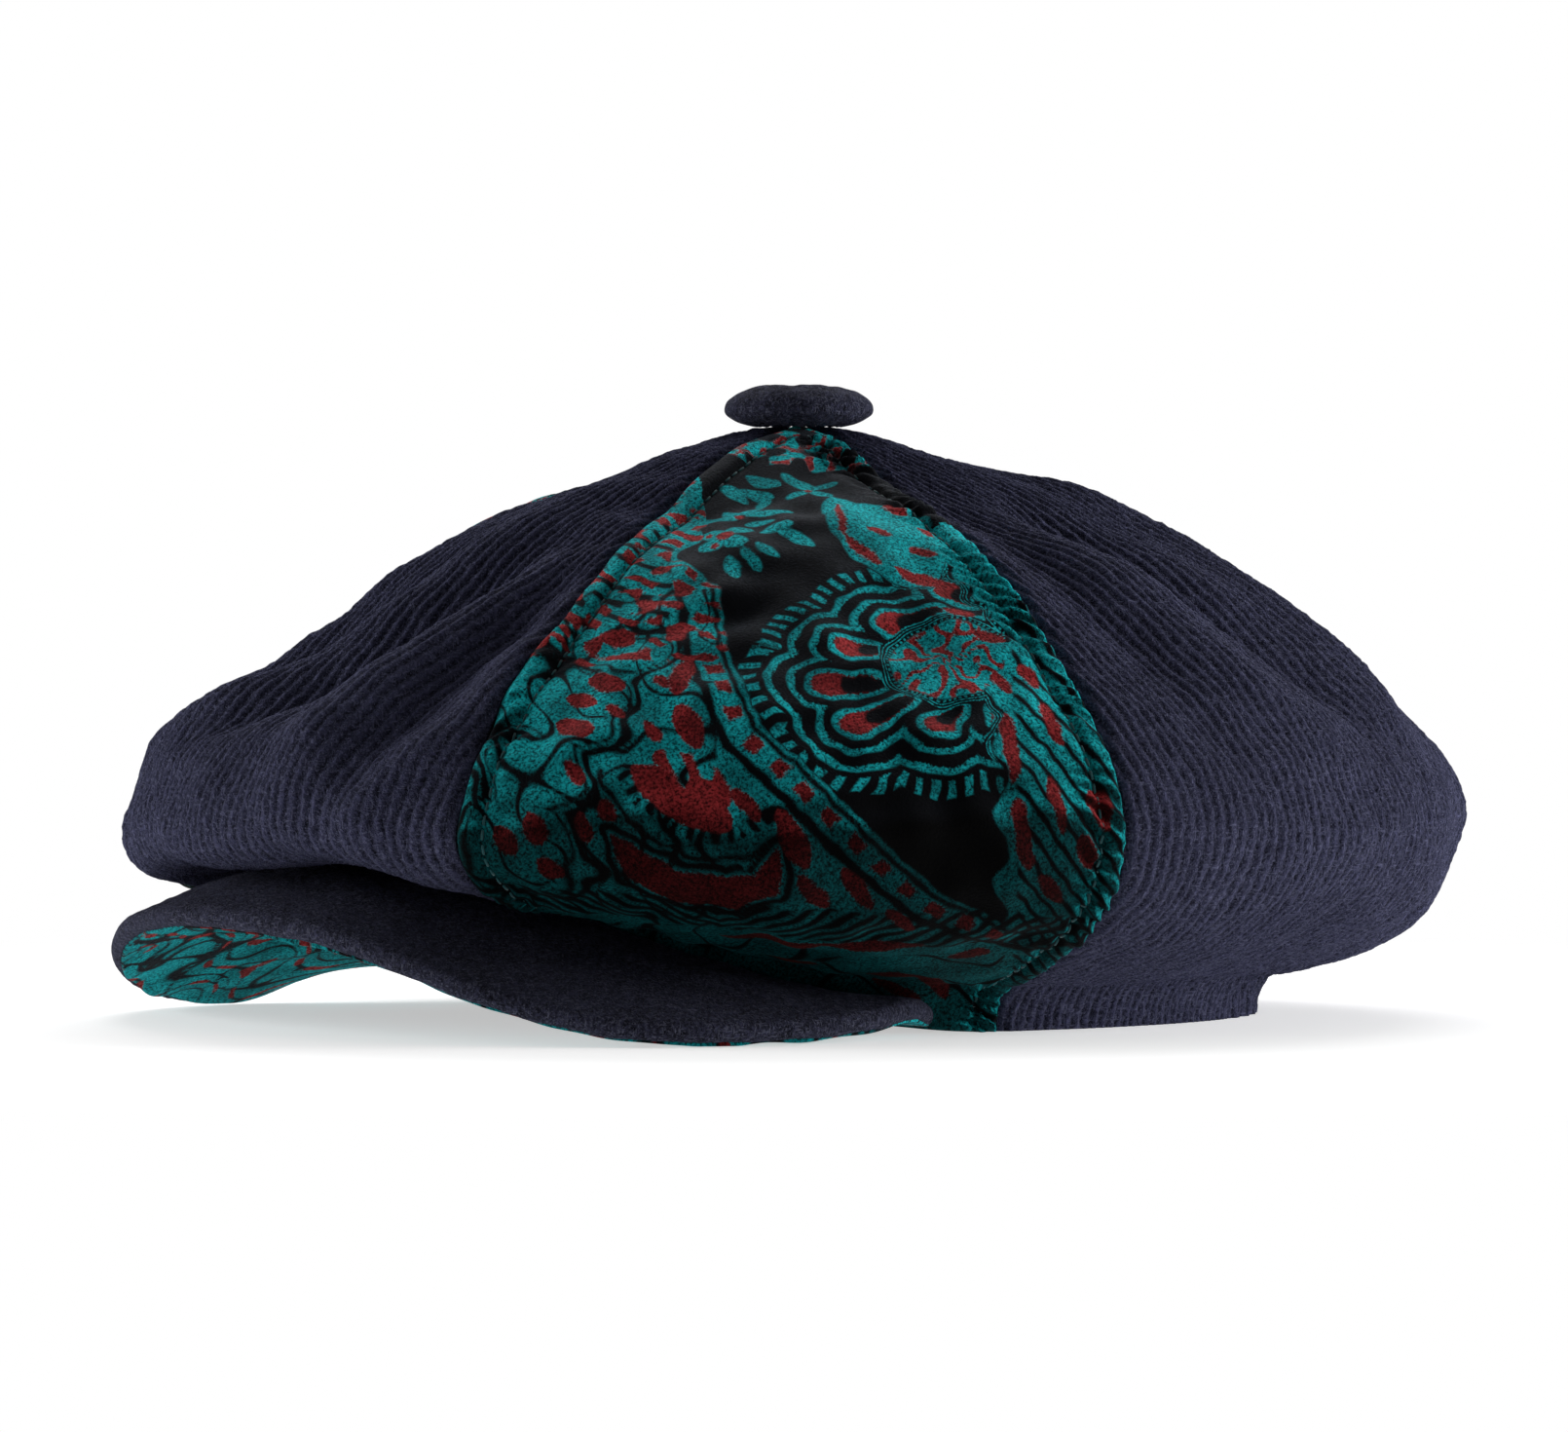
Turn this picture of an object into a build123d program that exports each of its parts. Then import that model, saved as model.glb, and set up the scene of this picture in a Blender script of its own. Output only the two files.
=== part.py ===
from build123d import *
import os
from math import acos, cos, degrees, hypot, pi, radians, sin

# Newsboy cap, in millimetres. Origin: centre of the head opening, on the plane that the
# rear edge of the opening rests on. +Z is up, the visor points to -Y and +X is the
# wearer's left. An azimuth is measured from the front towards the wearer's left.

# ---- Head opening and the low stand above its edge ----
OPENING_HALF_LENGTH = 104.0
OPENING_HALF_WIDTH = 83.0
FRONT_EDGE_RISE = 31.0
STAND_HEIGHT = 9.5
STAND_WALL_HEIGHT = 6.5
STAND_WALL_LEAN = 0.6
FOLD_OVERHANG = 4.0

# ---- Crown: superellipse dome above the bulge, curve back in to the stand below it ----
BULGE_HALF_LENGTH = 148.0
BULGE_HALF_WIDTH = 135.0
BULGE_HEIGHT = 43.0
DOME_RISE = 85.0
DOME_RADIUS_POWER = 1.43
DOME_HEIGHT_POWER = 1.24
TOP_HOLE_RADIUS = 4.0
PANEL_BOW = 2.0
TUCK_REACH = 20.0
TUCK_UPPER_HEIGHT = (25.0, 31.0)
TUCK_LOWER_HEIGHT = (14.0, 35.0)

# ---- Layers, each measured inwards from the outside of the crown ----
SHELL_THICKNESS = 1.8
PATCH_DEPTH = 2.0
PATCH_THICKNESS = 1.0
PATCH_RADIUS = 18.0
PATCH_STATIONS = 6
LINING_DEPTH = 3.6
LINING_THICKNESS = 0.7
LINING_FOOT_ROWS = 5
SEAM_HALF_GAP = 0.25

# ---- Panels: name and azimuth of the middle of each sixth of the crown ----
PANEL_AZIMUTHS = {
    "front": 0.0,
    "side_left": 60.0,
    "rear_left": 120.0,
    "rear": 180.0,
    "rear_right": 240.0,
    "side_right": 300.0,
}
PANEL_HALF_ANGLE = 30.0

# ---- Bands inside the opening, each measured inwards from the outside of the stand ----
TAPE_DEPTH = 2.1
TAPE_THICKNESS = 0.5
TAPE_HEIGHT = 7.0
TAPE_LIFT = 0.6
SWEATBAND_DEPTH = 2.8
SWEATBAND_THICKNESS = 0.8
SWEATBAND_HEIGHT = 30.0
ELASTIC_HALF_WIDTH = 62.0
ELASTIC_GAP = 1.5
LABEL_GAP = 0.15
LABEL_THICKNESS = 0.4
LABEL_HALF_WIDTH = 16.0
LABEL_HEIGHTS = (9.0, 23.0)

# ---- Visor: crescent between the stand and an outer ellipse ----
VISOR_CENTRE_FORWARD = 66.9
VISOR_HALF_DEPTH = 80.0
VISOR_HALF_WIDTH = 110.0
VISOR_SWEEP = 126.0
VISOR_ROOT_SWEEP = 78.0
VISOR_ROOT_GAP = 1.3
VISOR_ROOT_LIFT = 0.4
VISOR_PEAK_HEIGHT = 22.0
VISOR_LOBE_HEIGHT = 0.6
VISOR_LOBE_SWEEP = 80.0
VISOR_ARCH_POWER = 2.3
VISOR_CROWNING = 2.5
COVER_THICKNESS = 1.3
BOARD_THICKNESS = 1.8
LAYER_GAP = 0.15
BOARD_SWEEP_SHARE = 0.97
BOARD_RIM_REACH = 0.94

# ---- Button ----
BUTTON_RADIUS = 16.15
BUTTON_TOP = 136.6
BUTTON_RIM_HEIGHT = 131.2
BUTTON_FOOT_HEIGHT = 127.0
BUTTON_FOOT_RADIUS = 12.5
BUTTON_COVER_THICKNESS = 1.4
BUTTON_CORE_THICKNESS = 0.8
BACK_PLATE_RADIUS = 11.5
BACK_PLATE_THICKNESS = 0.8
BACK_PLATE_HEIGHT = 128.6
SHANK_RADIUS = 1.5
KNOT_RADIUS = 3.2
KNOT_THICKNESS = 1.2
KNOT_TOP = 122.6

# ---- Topstitching along both edges of the two side panels ----
STITCH_INSET = 6.5
STITCH_RADIUS = 0.3
STITCH_LIFT = 0.6

# ---- Sampling of the free-form surfaces ----
DOME_ROWS = 13
TUCK_ROWS = 9
STAND_ROWS = 4
PANEL_COLUMNS = 9
VISOR_COLUMNS = 33
VISOR_ROWS = 7
SLOPE_STEP = 0.002
LENS_STATIONS = 10


def ellipse_radius(azimuth, half_length, half_width):
    """Distance from the axis to an ellipse whose long side runs front to back."""
    return 1.0 / hypot(cos(azimuth) / half_length, sin(azimuth) / half_width)


def at(azimuth, radius, height):
    """Point at an azimuth, a distance from the vertical axis and a height."""
    return Vector(radius * sin(azimuth), -radius * cos(azimuth), height)


def edge_height(forward):
    """Height of the opening's edge: flat at the rear, arched over the brow."""
    return FRONT_EDGE_RISE * (max(forward, 0.0) / OPENING_HALF_LENGTH) ** 2


def blend(pair, share):
    """Value between the two of a pair."""
    return pair[0] + (pair[1] - pair[0]) * share


# ---- Crown surface ----
def panel_bow(azimuth):
    """Outward bow of the fabric between two seams, zero on each seam."""
    turns = degrees(azimuth) / (2.0 * PANEL_HALF_ANGLE)
    return PANEL_BOW * cos(pi * (turns - round(turns)))


def dome_point(azimuth, share):
    """Meridian from the button hole (share 0) out to the bulge (share 1)."""
    bulge = ellipse_radius(azimuth, BULGE_HALF_LENGTH, BULGE_HALF_WIDTH)
    start = acos((TOP_HOLE_RADIUS / bulge) ** (1.0 / DOME_RADIUS_POWER))
    angle = start * (1.0 - share)
    reach = cos(angle) ** DOME_RADIUS_POWER
    height = BULGE_HEIGHT + DOME_RISE * sin(angle) ** DOME_HEIGHT_POWER
    return bulge * reach + panel_bow(azimuth) * reach, height


def fold_point(azimuth):
    """Where the crown folds down into the stand."""
    opening = ellipse_radius(azimuth, OPENING_HALF_LENGTH, OPENING_HALF_WIDTH)
    return opening + FOLD_OVERHANG, edge_height(opening * cos(azimuth)) + STAND_HEIGHT


def tuck_point(azimuth, share):
    """Meridian from the bulge (share 0) back in to the fold (share 1)."""
    bulge, bulge_height = dome_point(azimuth, 1.0)
    fold, fold_height = fold_point(azimuth)
    frontness = max(cos(azimuth), 0.0) ** 4
    radii = (bulge, bulge, bulge - TUCK_REACH, fold)
    heights = (
        bulge_height,
        blend(TUCK_UPPER_HEIGHT, frontness),
        blend(TUCK_LOWER_HEIGHT, frontness),
        fold_height,
    )
    rest = 1.0 - share
    weights = (rest**3, 3 * rest**2 * share, 3 * rest * share**2, share**3)
    radius = sum(w * r for w, r in zip(weights, radii))
    height = sum(w * h for w, h in zip(weights, heights))
    return radius, height


def stand_point(azimuth, share):
    """Meridian from the fold (share 0) down the stand to the opening's edge (share 1)."""
    fold, fold_height = fold_point(azimuth)
    edge = fold - FOLD_OVERHANG
    foot = fold_height - STAND_HEIGHT
    corner = STAND_WALL_LEAN
    rest = 1.0 - share
    lean = FOLD_OVERHANG * rest**3 + 3 * corner * rest**2 * share + corner * rest * share**2
    climb = STAND_HEIGHT * rest**3 + 3 * STAND_WALL_HEIGHT * rest**2 * share
    climb += STAND_WALL_HEIGHT * rest * share**2
    return edge + lean, foot + climb


def crown_rows():
    """Stations of the meridian, from the button hole to the opening's edge."""
    rows = [(dome_point, i / DOME_ROWS) for i in range(DOME_ROWS)]
    rows += [(tuck_point, i / TUCK_ROWS) for i in range(TUCK_ROWS)]
    rows += [(stand_point, i / STAND_ROWS) for i in range(STAND_ROWS + 1)]
    return rows


def crown_point(azimuth, row, depth):
    """Point of the crown at a station, moved inwards by depth along the surface normal."""
    meridian, share = row
    here = at(azimuth, *meridian(azimuth, share))
    along = min(max(share, SLOPE_STEP), 1.0 - SLOPE_STEP)
    above = at(azimuth, *meridian(azimuth, along - SLOPE_STEP))
    below = at(azimuth, *meridian(azimuth, along + SLOPE_STEP))
    left = at(azimuth + SLOPE_STEP, *meridian(azimuth + SLOPE_STEP, share))
    right = at(azimuth - SLOPE_STEP, *meridian(azimuth - SLOPE_STEP, share))
    outwards = (below - above).cross(left - right).normalized()
    return here - outwards * depth


def panel_grid(centre, rows, depth):
    """Grid of points over one sixth of the crown, short of each seam by the half gap."""
    grid = []
    for row in rows:
        radius = row[0](centre, row[1])[0]
        half = radians(PANEL_HALF_ANGLE) - SEAM_HALF_GAP / radius
        steps = [2.0 * i / (PANEL_COLUMNS - 1) - 1.0 for i in range(PANEL_COLUMNS)]
        grid.append([crown_point(centre + half * step, row, depth) for step in steps])
    return grid


# ---- Solids from point grids ----
def skin(grid):
    """Smooth surface lofted through the columns of a point grid."""
    columns = [Wire([Edge.make_spline(list(column))]) for column in zip(*grid)]
    return Shell.make_loft(columns).faces()[0]


def nearest_edge(edge, candidates):
    """The candidate whose middle is nearest to the middle of an edge."""
    middle = edge.position_at(0.5)
    return min(candidates, key=lambda other: (other.position_at(0.5) - middle).length)


def slab(outer_grid, inner_grid):
    """Closed solid between two point grids of the same shape."""
    outer = skin(outer_grid)
    inner = skin(inner_grid)
    sides = []
    for edge in outer.edges():
        sides.append(Face.make_surface_from_curves(edge, nearest_edge(edge, inner.edges())))
    return Solid(Shell([outer, inner] + sides))


# ---- Crown parts ----
def crown_panel(azimuth):
    """One shell panel, from the button hole down to the opening's edge."""
    rows = crown_rows()
    centre = radians(azimuth)
    return slab(panel_grid(centre, rows, 0.0), panel_grid(centre, rows, SHELL_THICKNESS))


def lining_panel(azimuth):
    """One lining panel, hung inside its shell panel and ending above the stand."""
    rows = crown_rows()[:-LINING_FOOT_ROWS]
    centre = radians(azimuth)
    back = LINING_DEPTH + LINING_THICKNESS
    return slab(panel_grid(centre, rows, LINING_DEPTH), panel_grid(centre, rows, back))


def reinforcement_patch():
    """Disc under the crown's centre that the button's thread passes through."""
    outline = []
    back = []
    for step in range(PATCH_STATIONS):
        share = step / (PATCH_STATIONS - 1)
        radius = blend((TOP_HOLE_RADIUS, PATCH_RADIUS), share)
        angle = acos((radius / BULGE_HALF_WIDTH) ** (1.0 / DOME_RADIUS_POWER))
        height = BULGE_HEIGHT + DOME_RISE * sin(angle) ** DOME_HEIGHT_POWER
        outline.append((radius, height - PATCH_DEPTH))
        back.append((radius, height - PATCH_DEPTH - PATCH_THICKNESS))
    profile = Polyline(*outline, *reversed(back), close=True)
    return revolve(Plane.XZ * make_face(profile), Axis.Z)


# ---- Bands inside the opening ----
def oval_prism(depth, height):
    """Upright oval cylinder, set inwards from the outside of the stand by depth."""
    oval = Ellipse(OPENING_HALF_WIDTH - depth, OPENING_HALF_LENGTH - depth)
    return extrude(oval, height)


def brow_slice(lift, height):
    """Everything between the opening's arched edge and the same edge moved up."""
    reach = OPENING_HALF_LENGTH + FOLD_OVERHANG
    stations = [reach * share for share in (0.25, 0.5, 0.75, 1.0)]
    arch = [(0.0, lift)] + [(-f, edge_height(f) + lift) for f in stations]
    raised = [(y, z + height) for y, z in arch]
    outline = [
        Spline(*arch, tangents=[(-1, 0), (-reach, 2 * (arch[-1][1] - lift))]),
        Line(arch[-1], raised[-1]),
        Spline(*raised, tangents=[(-1, 0), (-reach, 2 * (arch[-1][1] - lift))]),
        Line(raised[0], (reach, lift + height)),
        Line((reach, lift + height), (reach, lift)),
        Line((reach, lift), arch[0]),
    ]
    return extrude(Plane.YZ * make_face(outline), OPENING_HALF_LENGTH, both=True)


def oval_band(depth, thickness, lift, height):
    """Closed band of one thickness that follows the oval and the arched edge."""
    top = FRONT_EDGE_RISE * 2.0 + SWEATBAND_HEIGHT
    ring = oval_prism(depth, top) - oval_prism(depth + thickness, top)
    return ring & brow_slice(lift, height)


def rear_zone(half_width):
    """Block that covers the rear of the opening over a width."""
    reach = OPENING_HALF_LENGTH + FOLD_OVERHANG
    return Pos(0, reach / 2, 0) * Box(2 * half_width, reach, 4 * reach)


def sweatband():
    return oval_band(SWEATBAND_DEPTH, SWEATBAND_THICKNESS, 0.0, SWEATBAND_HEIGHT)


def stay_tape():
    """Tape inside the stand, round the front and the sides."""
    tape = oval_band(TAPE_DEPTH, TAPE_THICKNESS, TAPE_LIFT, TAPE_HEIGHT)
    return tape - rear_zone(ELASTIC_HALF_WIDTH + ELASTIC_GAP)


def rear_elastic():
    """Elastic between the ends of the stay tape, which gathers the rear."""
    strip = oval_band(TAPE_DEPTH, TAPE_THICKNESS, TAPE_LIFT, TAPE_HEIGHT)
    return strip & rear_zone(ELASTIC_HALF_WIDTH)


def inner_label():
    """Blank woven label on the inside of the sweatband, at the rear."""
    depth = SWEATBAND_DEPTH + SWEATBAND_THICKNESS + LABEL_GAP
    low, high = LABEL_HEIGHTS
    return oval_band(depth, LABEL_THICKNESS, low, high - low) & rear_zone(LABEL_HALF_WIDTH)


# ---- Visor ----
def visor_root(share):
    """Where the visor meets the stand, for a share of the sweep from -1 to 1."""
    turn = radians(VISOR_ROOT_SWEEP) * share
    forward = (OPENING_HALF_LENGTH + VISOR_ROOT_GAP) * cos(turn)
    left = (OPENING_HALF_WIDTH + VISOR_ROOT_GAP) * sin(turn)
    lift = edge_height(OPENING_HALF_LENGTH * cos(turn)) + VISOR_ROOT_LIFT
    return Vector(left, -forward, lift)


def visor_rim(share):
    """Outer edge of the visor's underside."""
    sweep = VISOR_SWEEP * share
    turn = radians(sweep)
    forward = VISOR_CENTRE_FORWARD + VISOR_HALF_DEPTH * cos(turn)
    left = VISOR_HALF_WIDTH * sin(turn)
    lobe = min(abs(sweep) / VISOR_LOBE_SWEEP, 1.0) * pi / 2
    arch = max(cos(lobe), 0.0) ** VISOR_ARCH_POWER
    height = VISOR_LOBE_HEIGHT + (VISOR_PEAK_HEIGHT - VISOR_LOBE_HEIGHT) * arch
    return Vector(left, -forward, height)


def visor_point(share, reach, lift):
    """Point of the visor from root (reach 0) to rim (reach 1), lifted off its underside."""
    root = visor_root(share)
    rim = visor_rim(share)
    crowning = VISOR_CROWNING * 4.0 * reach * (1.0 - reach) * (1.0 - share**2)
    return root + (rim - root) * reach + Vector(0, 0, crowning + lift)


def visor_layer(lift, thickness, sweep_share, rim_reach):
    """One layer of the visor, over part of its sweep and short of its rim."""
    under = []
    over = []
    for column in range(VISOR_COLUMNS):
        share = sweep_share * (2.0 * column / (VISOR_COLUMNS - 1) - 1.0)
        reaches = [rim_reach * row / (VISOR_ROWS - 1) for row in range(VISOR_ROWS)]
        under.append([visor_point(share, reach, lift) for reach in reaches])
        over.append([visor_point(share, reach, lift + thickness) for reach in reaches])
    return slab(over, under)


def visor_under_cover():
    return visor_layer(0.0, COVER_THICKNESS, 1.0, 1.0)


def visor_board():
    lift = COVER_THICKNESS + LAYER_GAP
    return visor_layer(lift, BOARD_THICKNESS, BOARD_SWEEP_SHARE, BOARD_RIM_REACH)


def visor_top_cover():
    lift = COVER_THICKNESS + BOARD_THICKNESS + 2 * LAYER_GAP
    return visor_layer(lift, COVER_THICKNESS, 1.0, 1.0)


# ---- Button ----
def button_lens(inset):
    """Outline of the button, from its foot round the rim to its top, drawn in by an inset."""
    outline = [(0.0, BUTTON_FOOT_HEIGHT + inset)]
    for station in range(1, LENS_STATIONS):
        turn = pi * (station / LENS_STATIONS - 0.5)
        pole = BUTTON_TOP - inset if turn > 0 else outline[0][1]
        rise = abs(pole - BUTTON_RIM_HEIGHT) * sin(turn)
        outline.append(((BUTTON_RADIUS - inset) * cos(turn), BUTTON_RIM_HEIGHT + rise))
    outline.append((0.0, BUTTON_TOP - inset))
    rim = Spline(*outline, tangents=[(1, 0), (-1, 0)])
    return make_face([rim, Line(outline[-1], outline[0])])


def button_shell(inset, thickness):
    """Hollow lens, open underneath."""
    outside = revolve(Plane.XZ * button_lens(inset), Axis.Z)
    hollow = revolve(Plane.XZ * button_lens(inset + thickness), Axis.Z)
    mouth = disc(BUTTON_FOOT_RADIUS, BUTTON_RIM_HEIGHT - thickness, 0.0)
    return (outside - mouth) - hollow


def button_cover():
    return button_shell(0.0, BUTTON_COVER_THICKNESS)


def button_core():
    """Metal cap that the cover is stretched over."""
    inset = BUTTON_COVER_THICKNESS + LAYER_GAP
    skirt = disc(BUTTON_RADIUS, BUTTON_RIM_HEIGHT + BUTTON_CORE_THICKNESS, 0.0)
    return button_shell(inset, BUTTON_CORE_THICKNESS) - skirt


def disc(radius, thickness, bottom):
    """Round plate about the vertical axis."""
    floor = (Align.CENTER, Align.CENTER, Align.MIN)
    return Pos(0, 0, bottom) * Cylinder(radius, thickness, align=floor)


def button_back_plate():
    """Plate that closes the button and holds the shank."""
    hole = disc(SHANK_RADIUS + LAYER_GAP, BACK_PLATE_THICKNESS, BACK_PLATE_HEIGHT)
    return disc(BACK_PLATE_RADIUS, BACK_PLATE_THICKNESS, BACK_PLATE_HEIGHT) - hole


def button_shank():
    """Thread shank: a knot inside the button, a stem, and a knot under the lining."""
    stem_top = BACK_PLATE_HEIGHT + BACK_PLATE_THICKNESS + LAYER_GAP
    stem = disc(SHANK_RADIUS, stem_top - KNOT_TOP, KNOT_TOP)
    upper_knot = disc(KNOT_RADIUS, KNOT_THICKNESS, stem_top)
    lower_knot = disc(KNOT_RADIUS, KNOT_THICKNESS, KNOT_TOP - KNOT_THICKNESS)
    return stem + upper_knot + lower_knot


# ---- Topstitching ----
def stitch_line(centre, side):
    """Thread along one edge of a side panel, the stitch inset away from the seam."""
    points = []
    for row in crown_rows()[2:-STAND_ROWS]:
        radius = row[0](centre, row[1])[0]
        away = radians(PANEL_HALF_ANGLE) - STITCH_INSET / radius
        if away > 0:
            points.append(crown_point(centre + side * away, row, -STITCH_LIFT))
    path = Spline(*points)
    section = Plane(origin=path @ 0, z_dir=path % 0) * Circle(STITCH_RADIUS)
    return sweep(section, path=path)


def topstitching():
    """Two rows of thread on each of the two side panels."""
    rows = []
    for name in ("side_left", "side_right"):
        for side in (-1, 1):
            rows.append(stitch_line(radians(PANEL_AZIMUTHS[name]), side))
    return Compound(children=rows)


def build_parts():
    """Every separate piece of the cap, by the name of its node."""
    parts = {}
    for name, azimuth in PANEL_AZIMUTHS.items():
        parts["crown_panel_" + name] = crown_panel(azimuth)
        parts["lining_panel_" + name] = lining_panel(azimuth)
    parts["crown_patch"] = reinforcement_patch()
    parts["sweatband"] = sweatband()
    parts["stay_tape"] = stay_tape()
    parts["rear_elastic"] = rear_elastic()
    parts["inner_label"] = inner_label()
    parts["visor_top_cover"] = visor_top_cover()
    parts["visor_board"] = visor_board()
    parts["visor_under_cover"] = visor_under_cover()
    parts["button_cover"] = button_cover()
    parts["button_core"] = button_core()
    parts["button_back_plate"] = button_back_plate()
    parts["button_shank"] = button_shank()
    parts["topstitching"] = topstitching()
    return parts


os.makedirs("parts", exist_ok=True)
for node, shape in build_parts().items():
    export_step(shape, "parts/" + node + ".step")
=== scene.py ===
"""Newsboy cap: the soft crown, its lining, the visor, the button and the stitching, built in mesh
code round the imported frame. Lengths here are millimetres and are turned into metres when a mesh
is made. An azimuth is measured from the front (-Y) towards the wearer's left (+X)."""

import math

import bmesh
import bpy
import numpy as np
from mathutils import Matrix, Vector


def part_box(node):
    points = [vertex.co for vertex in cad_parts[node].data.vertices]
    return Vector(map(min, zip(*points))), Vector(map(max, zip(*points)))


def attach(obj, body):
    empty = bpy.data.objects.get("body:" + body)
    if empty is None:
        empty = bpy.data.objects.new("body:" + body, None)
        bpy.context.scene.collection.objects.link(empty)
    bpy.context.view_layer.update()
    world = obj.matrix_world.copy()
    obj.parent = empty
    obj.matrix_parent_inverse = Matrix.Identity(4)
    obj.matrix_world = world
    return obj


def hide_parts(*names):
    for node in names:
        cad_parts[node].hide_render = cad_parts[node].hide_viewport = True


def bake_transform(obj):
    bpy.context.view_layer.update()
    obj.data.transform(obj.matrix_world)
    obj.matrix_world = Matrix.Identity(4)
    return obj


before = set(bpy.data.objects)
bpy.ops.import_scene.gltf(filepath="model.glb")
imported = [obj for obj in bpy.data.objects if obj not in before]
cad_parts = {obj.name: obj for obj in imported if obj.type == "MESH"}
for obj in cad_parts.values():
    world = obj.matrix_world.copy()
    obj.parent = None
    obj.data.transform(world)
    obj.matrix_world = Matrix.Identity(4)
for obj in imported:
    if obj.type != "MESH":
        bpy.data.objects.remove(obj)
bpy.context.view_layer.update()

MM = 0.001


def box_mm(node):
    """Lowest and highest corners of a CAD node, in millimetres."""
    low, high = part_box(node)
    return np.array(low) / MM, np.array(high) / MM


# ---- Driving dimensions, from the frame ----
SWEATBAND_DEPTH = 2.8
SWEATBAND_THICKNESS = 0.8
PANEL_BOW = 2.0
BAND_HIGH = box_mm("sweatband")[1]
REAR_HIGH = box_mm("crown_panel_rear")[1]
LEFT_HIGH = box_mm("crown_panel_rear_left")[1]
VISOR_LOW, VISOR_HIGH = box_mm("visor_under_cover")
BUTTON_HIGH = box_mm("button_cover")[1]

OPENING_LENGTH = BAND_HIGH[1] + SWEATBAND_DEPTH
OPENING_WIDTH = BAND_HIGH[0] + SWEATBAND_DEPTH
SWEATBAND_HEIGHT = 30.0
BROW_SHARE = ((OPENING_LENGTH - SWEATBAND_DEPTH) / OPENING_LENGTH) ** 2
BROW_RISE = (BAND_HIGH[2] - SWEATBAND_HEIGHT) / BROW_SHARE
BULGE_LENGTH = REAR_HIGH[1] - PANEL_BOW
BULGE_WIDTH = LEFT_HIGH[0]
BULGE_HEIGHT = 43.0
DOME_RISE = 85.0
DOME_RADIUS_POWER = 1.43
DOME_HEIGHT_POWER = 1.24
TOP_RADIUS = 4.0
TUCK_REACH = 20.0
STAND_HEIGHT = 9.5
STAND_WALL = 6.5
STAND_LEAN = 0.6
FOLD_OVERHANG = 4.0
UNDER_HEIGHT = 25.0
UNDER_FRONT_RISE = 6.0
TUCK_HEIGHT = 14.0
TUCK_FRONT_RISE = 21.0
SHELL_THICKNESS = 1.8
LINING_DEPTH = 3.6
PANEL_HALF = math.radians(30.0)
SEAM_GAP = 0.05

# ---- Sampling ----
DOME_STATIONS = 300
TUCK_STATIONS = 200
STAND_STATIONS = 60
BACK_STRIDE = 4


def ellipse_radius(azimuth, length, width):
    """Distance from the axis to an ellipse whose long side runs front to back."""
    return 1.0 / np.hypot(np.cos(azimuth) / length, np.sin(azimuth) / width)


def brow_height(forward):
    """Height of the opening's edge: flat at the rear, arched over the brow."""
    return BROW_RISE * (np.maximum(forward, 0.0) / OPENING_LENGTH) ** 2


def bump_at(values, middle, width):
    """Bell curve of height 1."""
    return np.exp(-(((values - middle) / width) ** 2))


def smooth(values, low, high):
    """0 below low, 1 above high, smooth between."""
    share = np.clip((values - low) / (high - low), 0.0, 1.0)
    return share * share * (3.0 - 2.0 * share)


def waves(points, wavelength, seed, count=14):
    """Smooth repeatable noise of one rough wavelength, about -1 to 1."""
    rng = np.random.default_rng(seed)
    directions = rng.normal(size=(count, points.shape[-1]))
    directions /= np.linalg.norm(directions, axis=1, keepdims=True)
    directions *= 2.0 * np.pi / (wavelength * rng.uniform(0.7, 1.4, (count, 1)))
    phases = rng.uniform(0.0, 2.0 * np.pi, count)
    total = np.zeros(points.shape[:-1])
    for direction, phase in zip(directions, phases):
        total += np.sin(points @ direction + phase)
    return total * math.sqrt(2.0 / count)


# ---- Crown surface ----
# Heights over which moves across the cloth go from level to square with it.
FOOT_LEVEL = (1.0, 7.0)
# Where the soft underside hangs lower: azimuth and spread in degrees, drop.
DROOPS = ((-20.0, 20.0, 3.5), (126.0, 9.0, -3.6), (157.0, 12.0, 4.2), (-150.0, 16.0, 3.0))


def droop(azimuth):
    """How far the soft underside hangs below its mean."""
    total = 0.0
    for middle, spread, drop in DROOPS:
        beside = np.degrees(np.angle(np.exp(1j * (azimuth - math.radians(middle)))))
        total = total + drop * bump_at(beside, 0.0, spread)
    return total


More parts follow.
